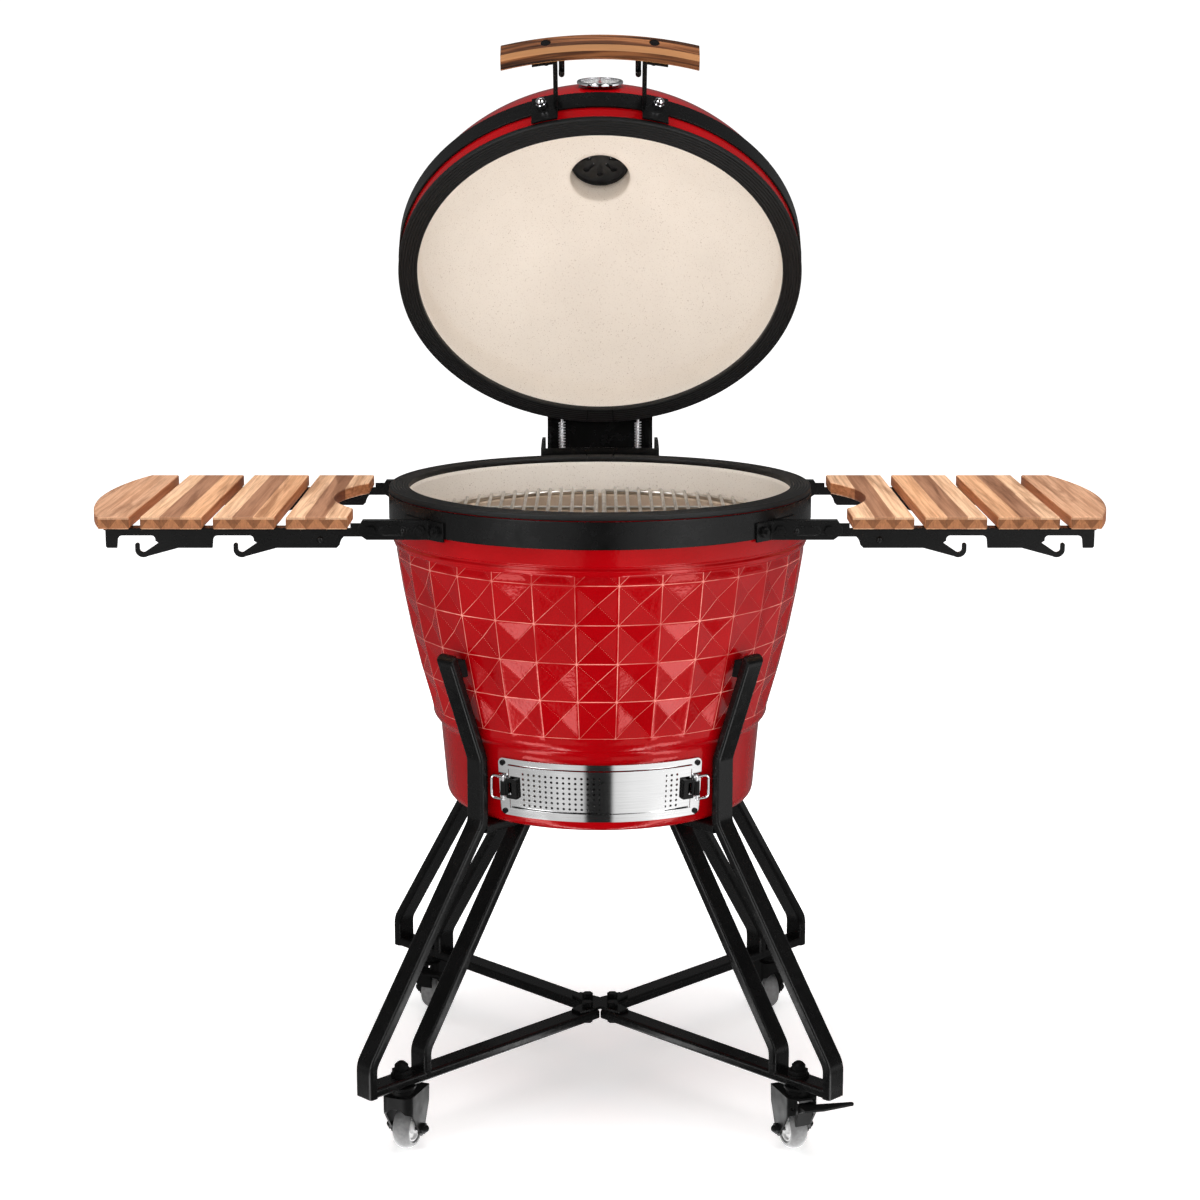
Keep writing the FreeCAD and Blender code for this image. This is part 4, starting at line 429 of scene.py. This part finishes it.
LOOKS = {
    "red_glaze": red_glaze(), "refractory": fire_clay(), "gasket_felt": ribbed_felt(),
    "black_steel": black_paint(), "black_hardware": black_paint("black_oxide", 0.004, 0.22, 0.0008, 0.15),
    "spring_steel": spring_wire(), "cast_iron": cast_iron(), "grate_steel": grate_rod(),
    "stainless": brushed_steel(), "chrome": chrome(), "shelf_wood": shelf_wood(),
    "handle_wood": handle_wood(), "clear_glass": clear_glass(), "needle_red": needle_red(),
    "wheel_rubber": grey_rubber(),
}
CREAM = cream_ceramic()
SOOTY_STEEL = sooty_steel()
DULL_BLACK = black_paint("dull_black", 0.004, 0.45, 0.0008, 0.06)
BLACK_RUBBER = black_paint("black_rubber", 0.004, 0.7, 0.0008, 0.1)
PALE_HUB = pale_hub()
DIAL_WHITE = dial_white()
DIAL_BLACK = black_paint("dial_marks", 0.01, 0.5, 0.0)


# ---------------------------------------------------------------- building meshes

def add_object(name, data):
    made = bpy.data.objects.new(name, data)
    bpy.context.scene.collection.objects.link(made)
    return made


def piece(name, vertices, faces, materials, body, face_materials=None, smooth=True):
    """A new mesh object riding on a body."""
    mesh = bpy.data.meshes.new(name)
    mesh.from_pydata([tuple(v) for v in vertices], [], faces)
    for material in materials:
        mesh.materials.append(material)
    if face_materials is not None:
        mesh.polygons.foreach_set("material_index", face_materials)
    mesh.polygons.foreach_set("use_smooth", [smooth] * len(mesh.polygons))
    mesh.update()
    made = add_object(name, mesh)
    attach(made, body)
    return made


def store_values(made, name, values):
    """One number for each point, for the material to read."""
    layer = made.data.attributes.new(name, "FLOAT", "POINT")
    layer.data.foreach_set("value", np.asarray(values, dtype=np.float32))


def arc(start, middle, end, count):
    """Points from start to end on the circle through three points, in radius and height."""
    (ax, ay), (bx, by), (cx, cy) = start, middle, end
    d = 2 * (ax * (by - cy) + bx * (cy - ay) + cx * (ay - by))
    a, b, c = ax * ax + ay * ay, bx * bx + by * by, cx * cx + cy * cy
    centre_x = (a * (by - cy) + b * (cy - ay) + c * (ay - by)) / d
    centre_y = (a * (cx - bx) + b * (ax - cx) + c * (bx - ax)) / d
    first = math.atan2(ay - centre_y, ax - centre_x)
    turn = math.atan2(cy - centre_y, cx - centre_x) - first
    turn = (turn + math.pi) % (2 * math.pi) - math.pi
    radius = math.hypot(ax - centre_x, ay - centre_y)
    angles = [first + turn * k / count for k in range(count + 1)]
    return [(centre_x + radius * math.cos(t), centre_y + radius * math.sin(t)) for t in angles]


def straight(start, end, count):
    """Points from start to end."""
    return [(start[0] + (end[0] - start[0]) * k / count, start[1] + (end[1] - start[1]) * k / count)
            for k in range(count + 1)]


def ring_angles(count):
    return np.linspace(0, 2 * math.pi, count, endpoint=False)


def on_circle(radius, angles, height):
    """Points at a radius and height; angle 0 is the front, and angles grow to the right."""
    heights = np.broadcast_to(height, np.shape(angles))
    return np.stack([radius * np.sin(angles), -radius * np.cos(angles), heights], axis=-1)


def round_ring(radius, height, count):
    return on_circle(radius, ring_angles(count), height)


def skin(rings, closed_loop=False):
    """Vertices and faces joining a list of equal rings, outward when the rings go up."""
    count = len(rings[0])
    vertices = np.concatenate(rings)
    faces = []
    last = len(rings) if closed_loop else len(rings) - 1
    for level in range(last):
        low = level * count
        high = ((level + 1) % len(rings)) * count
        for k in range(count):
            after = (k + 1) % count
            faces.append((low + k, low + after, high + after, high + k))
    return vertices, faces


# ---------------------------------------------------------------- quilted bowl

QUILT_COLUMNS = 31
CELL_STEPS = 26
RING_POINTS = QUILT_COLUMNS * CELL_STEPS
COLUMN_ANGLE = 2 * math.pi / QUILT_COLUMNS
# The pattern is turned so that one column of pyramids is nearly in the middle of the front.
QUILT_TURN = -COLUMN_ANGLE / 2 - 0.014
QUILT_BOTTOM, QUILT_TOP, QUILT_ROW = 0.5795, 0.8125, 0.0549
QUILT_DEPTH = 0.0062
# How far the pattern is averaged over itself, as a share of a cell.
EDGE_ROUNDING = 0.030
ENVELOPE = arc((0.239, 0.567), (0.271, 0.689), (0.292, 0.812), 60)

# Levels of the bowl, the radius of both straight ceramic walls, and the open middle of the flat rings.
UNDERSIDE, BOWL_FLOOR, BOWL_RIM = 0.442, 0.470, 0.8870
WALL_RADIUS = 0.2970
MIDDLE = 0.002


def envelope(height):
    """Outside radius of the quilted zone at a height."""
    radii, heights = zip(*ENVELOPE)
    return np.interp(height, heights, radii)


def between(first, second, share):
    """Points at a share of the way from the first points to the second."""
    return first * (1 - share)[:, None] + second * share[:, None]


def quilt_corner(column, row):
    height = QUILT_BOTTOM + QUILT_ROW * row
    return on_circle(envelope(height), QUILT_TURN + column * COLUMN_ANGLE, height)


def quilt_flat(across, up):
    """Points of the sharp pattern: every cell is a four-sided pyramid pressed into the wall."""
    column, row = np.floor(across), np.floor(up)
    u, v = 2 * (across - column) - 1, 2 * (up - row) - 1
    height = QUILT_BOTTOM + QUILT_ROW * (row + 0.5)
    deep = on_circle(envelope(height) - QUILT_DEPTH, QUILT_TURN + (column + 0.5) * COLUMN_ANGLE, height)
    reach = np.maximum(np.maximum(np.abs(u), np.abs(v)), 1e-9)
    edge_u, edge_v = (u / reach + 1) / 2, (v / reach + 1) / 2
    low = between(quilt_corner(column, row), quilt_corner(column + 1, row), edge_u)
    high = between(quilt_corner(column, row + 1), quilt_corner(column + 1, row + 1), edge_u)
    return between(deep, between(low, high, edge_v), reach)


def quilt_ring(up):
    """One ring of the pattern with its ridges and valleys rounded by averaging."""
    across = np.arange(RING_POINTS) / CELL_STEPS
    offsets = [(a * EDGE_ROUNDING, b * EDGE_ROUNDING) for a in (-1, 0, 1) for b in (-1, 0, 1)]
    total = np.zeros((RING_POINTS, 3))
    for aside, above in offsets:
        total += quilt_flat(across + aside, np.full(RING_POINTS, up + above))
    return total / len(offsets)


def turned_rings(profile):
    """Plain rings whose points line up with the pattern's columns."""
    angles = QUILT_TURN + np.arange(RING_POINTS) * 2 * math.pi / RING_POINTS
    return [on_circle(radius, angles, height) for radius, height in profile]


def bowl_outside():
    """Rings from the middle of the underside up to the quilting, of the quilting, and up to the rim."""
    underside = (straight((MIDDLE, UNDERSIDE), (0.206, UNDERSIDE), 4)
                 + arc((0.208, UNDERSIDE), (0.2165, 0.4463), (0.2215, 0.4555), 6))
    foot = straight((0.222, 0.458), (0.2295, 0.548), 4)
    step = (arc((0.2298, 0.551), (0.2322, 0.5575), (0.2355, 0.5605), 5)
            + arc((0.2368, 0.5625), (0.2395, 0.5665), (0.2408, 0.5720), 5) + [(0.2408, 0.5748)])
    bead = ([(0.2925, 0.8130), (0.2930, 0.8150)]
            + arc((0.2935, 0.8165), (0.2946, 0.8190), (0.2935, 0.8215), 4)
            + arc((0.2932, 0.8225), (0.2942, 0.8250), (0.2965, 0.8262), 4))
    collar = (straight((WALL_RADIUS, 0.8275), (WALL_RADIUS, 0.8850), 4)
              + arc((WALL_RADIUS, 0.8855), (0.2966, 0.8866), (0.2955, BOWL_RIM), 3))
    quilt_steps = int((QUILT_TOP - QUILT_BOTTOM) / QUILT_ROW * CELL_STEPS) + 1
    quilted = [quilt_ring(k / CELL_STEPS) for k in range(quilt_steps)]
    return turned_rings(underside + foot + step), quilted, turned_rings(bead + collar)


def bowl_inside():
    """Rings from the inner edge of the rim down to the middle of the floor."""
    neck = [(0.2715, BOWL_RIM), (0.2710, 0.8865)] + straight((0.2710, 0.8800), (0.2710, 0.8310), 3)
    shoulder = arc((0.2705, 0.8280), (0.2690, 0.8200), (0.2680, 0.8120), 3)
    wall = arc((0.268, 0.812), (0.246, 0.689), (0.212, 0.566), 16)[1:]
    foot = arc((0.212, 0.566), (0.203, 0.510), (0.190, BOWL_FLOOR), 6)[1:]
    floor = straight((0.188, BOWL_FLOOR), (MIDDLE, BOWL_FLOOR), 4)
    return turned_rings(neck + shoulder + wall + foot + floor)


def cut_box(made, low, high):
    """Cuts a box-shaped opening through a mesh for good; the cut faces take its second material."""
    sides = list(zip(low, high))
    corners = [(x, y, z) for x in sides[0] for y in sides[1] for z in sides[2]]
    faces = [(0, 1, 3, 2), (4, 6, 7, 5), (0, 4, 5, 1), (2, 3, 7, 6), (0, 2, 6, 4), (1, 5, 7, 3)]
    mesh = bpy.data.meshes.new("cutter")
    mesh.from_pydata(corners, [], faces)
    for material in made.data.materials:
        mesh.materials.append(material)
    mesh.polygons.foreach_set("material_index", [1] * len(faces))
    cutter = add_object("cutter", mesh)
    opening = made.modifiers.new("opening", "BOOLEAN")
    opening.object = cutter
    opening.operation = "DIFFERENCE"
    opening.solver = "EXACT"
    bpy.context.view_layer.update()
    shape = made.evaluated_get(bpy.context.evaluated_depsgraph_get())
    final = bpy.data.meshes.new_from_object(shape)
    made.modifiers.clear()
    made.data = final
    bpy.data.objects.remove(cutter)


def quilt_marks(made, first_ring, ring_count):
    """Stores how far each point is from the quilting's ridges and creases, as shares of half a cell."""
    total = len(made.data.vertices)
    ridge, crease = np.ones(total), np.ones(total)
    u = np.abs(2 * ((np.arange(RING_POINTS) / CELL_STEPS) % 1) - 1)
    for ring in range(ring_count):
        v = abs(2 * ((ring / CELL_STEPS) % 1) - 1)
        here = slice((first_ring + ring) * RING_POINTS, (first_ring + ring + 1) * RING_POINTS)
        ridge[here] = 1 - np.maximum(u, v)
        crease[here] = np.abs(u - v)
    store_values(made, "ridge", ridge)
    store_values(made, "crease", crease)


DOORWAY_LOW, DOORWAY_HIGH = (-0.106, -0.260, 0.4702), (0.106, -0.120, 0.528)
GLAZED, BARE = 0, 1


def build_bowl():
    """The bowl: glazed outside up to the rim, cream inside, with the doorway cut through its front."""
    low, quilted, collar = bowl_outside()
    rings = low + quilted + collar + bowl_inside()
    vertices, faces = skin(rings)
    underside = tuple(range(RING_POINTS - 1, -1, -1))
    floor = tuple(range(len(vertices) - RING_POINTS, len(vertices)))
    glazed = len(low) + len(quilted) + len(collar) - 1
    bare = len(rings) - 1 - glazed
    look = [GLAZED] * (glazed * RING_POINTS) + [BARE] * (bare * RING_POINTS) + [GLAZED, BARE]
    made = piece("bowl_ceramic", vertices, faces + [underside, floor], [LOOKS["red_glaze"], CREAM],
                 "stand", look)
    quilt_marks(made, len(low), len(quilted))
    cut_box(made, DOORWAY_LOW, DOORWAY_HIGH)
    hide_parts("base_shell")


# ---------------------------------------------------------------- lid

# The lid is built shut and then turned open.
LID_POINTS = 360
LID_BOTTOM, LID_TOP = 0.9033, 1.1680
DOME_START, DOME_END, DOME_SAG = (0.297, 0.957), (0.070, 1.153), 0.0388
LID_THICKNESS = 0.027
NECK_RADIUS, CHIMNEY_RADIUS = 0.0660, 0.0460


def dome_middle(inset):
    """Middle point of the dome's outer curve, moved inward by a distance."""
    run, rise = DOME_END[0] - DOME_START[0], DOME_END[1] - DOME_START[1]
    bulge = (DOME_SAG - inset) / math.hypot(run, rise)
    return DOME_START[0] + run / 2 + rise * bulge, DOME_START[1] + rise / 2 - run * bulge


def build_lid():
    """The lid: glazed outside, cream inside and on its lower face, with the chimney's hole in its top."""
    outside = ([(0.2955, LID_BOTTOM), (0.2967, LID_BOTTOM + 0.0004), (WALL_RADIUS, LID_BOTTOM + 0.0015)]
               + straight((WALL_RADIUS, 0.9080), (WALL_RADIUS, 0.9540), 4)
               + arc(DOME_START, dome_middle(0), DOME_END, 48)
               + arc((0.0680, 1.1535), (0.0664, 1.1548), (NECK_RADIUS, 1.1570), 4)
               + [(NECK_RADIUS, 1.1670), (0.0650, LID_TOP)])
    inside = ([(0.0470, LID_TOP), (CHIMNEY_RADIUS, 1.1670)]
              + straight((CHIMNEY_RADIUS, 1.1580), (CHIMNEY_RADIUS, 1.1320), 3)
              + arc((0.0470, 1.1280), dome_middle(LID_THICKNESS), (0.2700, 0.9590), 40)
              + straight((0.2705, 0.9500), (0.2710, 0.9040), 3) + [(0.2715, LID_BOTTOM)])
    rings = [round_ring(radius, height, LID_POINTS) for radius, height in outside + inside]
    vertices, faces = skin(rings, closed_loop=True)
    look = []
    for level in range(len(rings)):
        look += [GLAZED if 0 < level < len(outside) else BARE] * LID_POINTS
    opened = [TO_OPEN_LID @ Vector(v) for v in vertices]
    made = piece("lid_ceramic", opened, faces, [LOOKS["red_glaze"], CREAM], "lid", look)
    for name in HIGHLIGHT_LINE_WIDTHS:
        store_values(made, name, np.ones(len(vertices)))
    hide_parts("lid_shell")


# ---------------------------------------------------------------- felt gaskets

FELT_INNER, FELT_OUTER = 0.271, 0.299
RIBS = 6
RIB_STEPS = 8
RIB_DEPTH = 0.0009
# The outer edge is rounded, and its middle is this far in from both faces; the inner edge is a narrow slope.
FELT_ROUNDING, CORNER_CUT = 0.0025, 0.0007
FELT_SLOPE, SLOPE_DEPTH = 0.0008, 0.0010
# A short filler closes the felt at the back, between two slits this far to either side of the joint.
BACK_JOINT = math.pi
JOINT_APART = 0.070
JOINT_DEPTH = 0.0022
JOINT_EDGES = (0.0016, 0.0034)
FELT_POINTS = 300


def joint_angles():
    """The two slits, and extra points round the ring at the edges of each."""
    slits = (BACK_JOINT - JOINT_APART, BACK_JOINT + JOINT_APART)
    return slits, [slit + side * edge for slit in slits for edge in JOINT_EDGES for side in (-1, 1)]


def felt_profile(free_face, fixed_face, upward):
    """Section of the felt, counter-clockwise; upward is 1 when the ribs are on top and -1 otherwise."""
    ribbed = FELT_OUTER - FELT_INNER - FELT_ROUNDING - FELT_SLOPE
    steps = RIBS * RIB_STEPS
    ribs = []
    for k in range(steps + 1):
        dip = RIB_DEPTH * (1 - math.cos(k / RIB_STEPS * 2 * math.pi)) / 2
        ribs.append((FELT_OUTER - FELT_ROUNDING - ribbed * k / steps, free_face - upward * dip))
    corner = arc((FELT_OUTER, free_face - upward * FELT_ROUNDING),
                 (FELT_OUTER - CORNER_CUT, free_face - upward * CORNER_CUT),
                 (FELT_OUTER - FELT_ROUNDING, free_face), 4)
    profile = ([(FELT_OUTER, fixed_face)] + corner[:-1] + ribs
               + [(FELT_INNER, free_face - upward * SLOPE_DEPTH), (FELT_INNER, fixed_face)])
    return profile if upward > 0 else profile[::-1]


def felt_ring(name, body, node, free_face, fixed_face, to_place):
    """Felt ring with fine ribs on its free face and a filler let in at the back."""
    upward = 1 if free_face > fixed_face else -1
    slits, extra = joint_angles()
    angles = np.array(sorted(list(ring_angles(FELT_POINTS)) + extra))
    away = np.min([np.abs(angles - slit) for slit in slits], axis=0)
    in_slit = away < sum(JOINT_EDGES) / 2
    floor = free_face - upward * JOINT_DEPTH
    rings = []
    for radius, height in felt_profile(free_face, fixed_face, upward):
        lowered = min(height, floor) if upward > 0 else max(height, floor)
        rings.append(on_circle(radius, angles, np.where(in_slit, lowered, height)))
    vertices, faces = skin(rings, closed_loop=True)
    made = piece(name, [to_place @ Vector(v) for v in vertices], faces, [LOOKS["gasket_felt"]],
                 body)
    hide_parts(node)


def build_gaskets():
    felt_ring("base_felt", "stand", "base_gasket", 0.895, 0.8871, Matrix.Identity(4))
    felt_ring("lid_felt", "lid", "lid_gasket", 0.8953, 0.9032, TO_OPEN_LID)


# ---------------------------------------------------------------- thermometer dial

# How far outward the dial lies from the origin of the needle's joint, and the sizes of its disc.
DIAL_BED = 0.00305
DIAL_RADIUS, DIAL_HOLE, DIAL_THICKNESS = 0.0272, 0.0020, 0.0003
MARK_TOP = 0.0004
MARK_COUNT, FIRST_MARK, MARK_STEP = 25, -120, 10
# Inner end and half width of the long and the short marks, and the outer end of both.
LONG_MARK, SHORT_MARK, MARK_END = (0.0205, 0.0005), (0.0228, 0.00028), 0.0255


def scale_mark(face, number):
    """Corners of one mark, four below and four above; every fourth mark is long and thick."""
    angle = math.radians(FIRST_MARK + MARK_STEP * number)
    start, half = LONG_MARK if number % 4 == 0 else SHORT_MARK
    along = Vector((math.sin(angle), math.cos(angle), 0))
    side = Vector((along.y, -along.x, 0)) * half
    outline = [along * start - side, along * start + side, along * MARK_END + side, along * MARK_END - side]
    levels = [Vector((0, 0, height)) for height in (DIAL_THICKNESS, MARK_TOP)]
    return [face @ (point + level) for level in levels for point in outline]


def build_dial():
    """Scale marks round the thermometer's face, with a plain white disc under them."""
    turn = JOINTS["needle_turn"]
    outward = -Vector(turn["axis"]).normalized()
    bed = Vector(turn["pos_m"]) + outward * DIAL_BED
    face = Matrix.Translation(bed) @ outward.to_track_quat("Z", "Y").to_matrix().to_4x4()
    rings = [round_ring(DIAL_RADIUS, 0.0, 64), round_ring(DIAL_RADIUS, DIAL_THICKNESS, 64),
             round_ring(DIAL_HOLE, DIAL_THICKNESS, 64)]
    vertices, faces = skin(rings)
    vertices = [face @ Vector(v) for v in vertices]
    piece("dial_disc", vertices, faces, [DIAL_WHITE], "lid", smooth=False)
    quads = ((0, 1, 2, 3), (7, 6, 5, 4), (0, 4, 5, 1), (1, 5, 6, 2), (2, 6, 7, 3), (3, 7, 4, 0))
    vertices, faces = [], []
    for number in range(MARK_COUNT):
        faces += [tuple(len(vertices) + i for i in quad) for quad in quads]
        vertices += scale_mark(face, number)
    piece("dial_marks", vertices, faces, [DIAL_BLACK], "lid", smooth=False)


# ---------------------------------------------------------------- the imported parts

# Hardware farther out than this from the middle of the wooden bar belongs to the bar, not to the band.
BAR_HARDWARE = -0.040
HUB_RADIUS = 0.0199


def nodes_named(*starts):
    return [name for name in NODES if name.startswith(starts)]


def repaint(name, look):
    """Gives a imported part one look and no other."""
    materials = NODES[name].data.materials
    materials.clear()
    materials.append(look)


def dress_nodes():
    """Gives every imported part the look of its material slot."""
    slots = {entry["node"]: entry["material_slot"] for entry in frame["record"]["subparts"]}
    for name, made in NODES.items():
        repaint(name, LOOKS[slots[name]])


def dress_fasteners():
    """The acorn nuts on the lid band are chrome; the plugs, bolts and nuts of the wooden bar are black."""
    made = NODES["handle_fasteners"]
    made.data.materials.append(LOOKS["black_hardware"])
    corners = [Vector(v.co) for v in NODES["handle_bar"].data.vertices]
    middle = sum(corners, Vector()) / len(corners)
    outward = TO_OPEN_LID.to_3x3() @ Vector((0, -1, 0))
    for polygon in made.data.polygons:
        if (Vector(polygon.center) - middle).dot(outward) > BAR_HARDWARE:
            polygon.material_index = 1


def dress_wheels():
    """The tyre keeps its rubber; faces within the hub's radius are pale plastic."""
    for name in nodes_named("caster_wheel_"):
        made = NODES[name]
        joint = JOINTS["roll_" + name[len("caster_wheel_"):]]
        centre, axle = Vector(joint["pos_m"]), Vector(joint["axis"]).normalized()
        made.data.materials.append(PALE_HUB)
        for polygon in made.data.polygons:
            offset = polygon.center - centre
            if (offset - axle * offset.dot(axle)).length < HUB_RADIUS:
                polygon.material_index = 1


def dress_parts():
    """The slots' looks, and the few parts that look different from the rest of their slot."""
    dress_nodes()
    dress_fasteners()
    repaint("ash_drawer", SOOTY_STEEL)
    repaint("leg_bumpers", BLACK_RUBBER)
    for name in nodes_named("caster_fork_", "caster_stems", "brake_pedal_"):
        repaint(name, DULL_BLACK)
    dress_wheels()


# ---------------------------------------------------------------- studio

def strip_light(paint, azimuth):
    """Brightness of the surroundings in reflections, by the angle away from the camera's side."""
    share = paint.math("DIVIDE", paint.math("ABSOLUTE", azimuth), 180.0)
    dark_front = [(0.00, 0.01), (0.15, 0.05)]
    strip = [(0.195, 1.6), (0.215, 6.0), (0.290, 6.0), (0.33, 0.50)]
    back = [(0.40, 0.15), (0.55, 0.06), (0.70, 0.20), (1.0, 0.10)]
    return paint.ramp(share, dark_front + strip + back)


def far_light(paint, azimuth):
    """The same for the outer part of the floor: bright on both sides of one narrow dark band."""
    share = paint.math("ADD", paint.math("DIVIDE", azimuth, 360.0), 0.5)
    left = [(0.15, 0.15), (0.25, 0.30), (0.31, 0.50), (0.40, 0.66), (0.43, 0.85), (0.470, 0.70)]
    band = [(0.475, 0.02), (0.521, 0.02)]
    right = [(0.525, 0.85), (0.56, 1.05), (0.67, 1.25), (0.74, 0.90), (0.85, 0.15)]
    return paint.ramp(share, left + band + right)


# Reflections of the floor change from the surroundings' light to the far light between these radii.
FAR_FLOOR = (1.08, 1.16)
# The floor's own glow, by the share of the radius GLOW_REACH: dimmer under the grill, where its shadow is.
GLOW_REACH = 4.0
GLOW = [(0.04, 0.38), (0.30, 1.0)]
FLOOR_HALF = 14.0
# Brightness of the surroundings: as light on dull surfaces, and behind the object.
SOFT_FILL, BACKDROP_WHITE = 0.25, 1.1


class Backdrop(Paint):
    """Node helpers on a tree without a Principled surface."""

    def __init__(self, tree):
        self.tree = tree
        tree.nodes.clear()

    def glow(self, kind, color):
        """A Background or an Emission in a linked colour."""
        made = self.node(kind)
        self.join(color, made.inputs["Color"])
        return made

    def even_light(self, strength):
        """A plain white Background."""
        made = self.node("Background")
        made.inputs["Color"].default_value = (1, 1, 1, 1)
        made.inputs["Strength"].default_value = strength
        return made

    def choose(self, ray, others, chosen):
        """One shader for the named kind of ray and another for all others."""
        made = self.node("MixShader")
        self.join(self.node("LightPath").outputs[ray], made.inputs[0])
        self.join(others.outputs[0], made.inputs[1])
        self.join(chosen.outputs[0], made.inputs[2])
        return made

    def finish(self, shader, kind):
        self.join(shader.outputs[0], self.node(kind).inputs["Surface"])


def azimuth_of(paint, x, y):
    """Degrees from the -Y direction, positive to the right."""
    return paint.math("DEGREES", paint.math("ARCTAN2", x, paint.math("MULTIPLY", y, -1.0)))


def build_world():
    """White behind the object, a soft even light, and a bright strip on either side in reflections."""
    world = bpy.data.worlds.new("studio")
    world.use_nodes = True
    bpy.context.scene.world = world
    paint = Backdrop(world.node_tree)
    direction = paint.axes(paint.node("TexCoord").outputs["Generated"])
    mirrored = paint.glow("Background", strip_light(paint, azimuth_of(paint, direction[0], direction[1])))
    unseen = paint.choose("Is Glossy Ray", paint.even_light(SOFT_FILL), mirrored)
    surroundings = paint.choose("Is Camera Ray", unseen, paint.even_light(BACKDROP_WHITE))
    paint.finish(surroundings, "OutputWorld")


def floor_material():
    material = bpy.data.materials.new("studio_floor")
    material.use_nodes = True
    paint = Backdrop(material.node_tree)
    place = paint.axes(paint.node("NewGeometry").outputs["Position"])
    x, y = place[0], place[1]
    reach = paint.math("SQRT", paint.math("ADD", paint.math("MULTIPLY", x, x), paint.math("MULTIPLY", y, y)))
    white = paint.node("BsdfDiffuse")
    white.inputs["Color"].default_value = (0.92, 0.92, 0.92, 1)
    lift = paint.glow("Emission", paint.ramp(paint.math("DIVIDE", reach, GLOW_REACH), GLOW))
    bright = paint.node("AddShader")
    paint.join(white.outputs[0], bright.inputs[0])
    paint.join(lift.outputs[0], bright.inputs[1])
    azimuth = azimuth_of(paint, x, y)
    outward = paint.node("MapRange")
    for socket, value in zip(outward.inputs[1:5], (*FAR_FLOOR, 0.0, 1.0)):
        socket.default_value = value
    paint.join(reach, outward.inputs[0])
    both = paint.mix(outward.outputs[0], strip_light(paint, azimuth), far_light(paint, azimuth))
    paint.finish(paint.choose("Is Glossy Ray", bright, paint.glow("Emission", both)), "OutputMaterial")
    return material


def build_floor():
    """White sweep: lit by the lamps for the camera, striped like the surroundings in reflections."""
    corners = [(x * FLOOR_HALF, y * FLOOR_HALF, 0) for x, y in ((-1, -1), (1, -1), (1, 1), (-1, 1))]
    mesh = bpy.data.meshes.new("studio_floor")
    mesh.from_pydata(corners, [], [(0, 1, 2, 3)])
    mesh.materials.append(floor_material())
    add_object("studio_floor", mesh)


LAMPS_AIM = (0, 0, 0.8)


def lamp(name, at, width, height, power):
    """A rectangular softbox with a power in watts, aimed at the grill and left out of reflections."""
    data = bpy.data.lights.new(name, "AREA")
    data.shape = "RECTANGLE"
    data.size, data.size_y = width, height
    data.energy = power
    made = add_object(name, data)
    made.location = at
    made.rotation_euler = (Vector(LAMPS_AIM) - Vector(at)).to_track_quat("-Z", "Y").to_euler()
    made.visible_glossy = False


def build_lamps():
    lamp("front_fill", (0, -4.2, 1.3), 1.8, 1.8, 66)
    lamp("left_softbox", (-2.9, -1.9, 1.7), 1.2, 2.2, 13)
    lamp("right_softbox", (2.9, -1.9, 1.7), 1.2, 2.2, 13)
    lamp("top_softbox", (0, -0.3, 3.4), 2.6, 2.6, 98)


# The camera looks from in front, tilted down by CAMERA_TILT radians.
CAMERA_PLACE, CAMERA_TILT = (0, -3.42, 1.396), 0.194
LENS, SENSOR_WIDTH = 72.75, 36


def build_camera():
    data = bpy.data.cameras.new("camera")
    data.lens = LENS
    data.sensor_width = SENSOR_WIDTH
    made = add_object("camera", data)
    made.location = CAMERA_PLACE
    made.rotation_euler = (math.radians(90) - CAMERA_TILT, 0, 0)
    bpy.context.scene.camera = made


def set_view():
    scene = bpy.context.scene
    scene.view_settings.view_transform = "Standard"
    scene.view_settings.look = "None"
    scene.view_settings.exposure = 0.0


dress_parts()
build_bowl()
build_lid()
build_gaskets()
build_dial()
build_world()
build_floor()
build_lamps()
build_camera()
set_view()
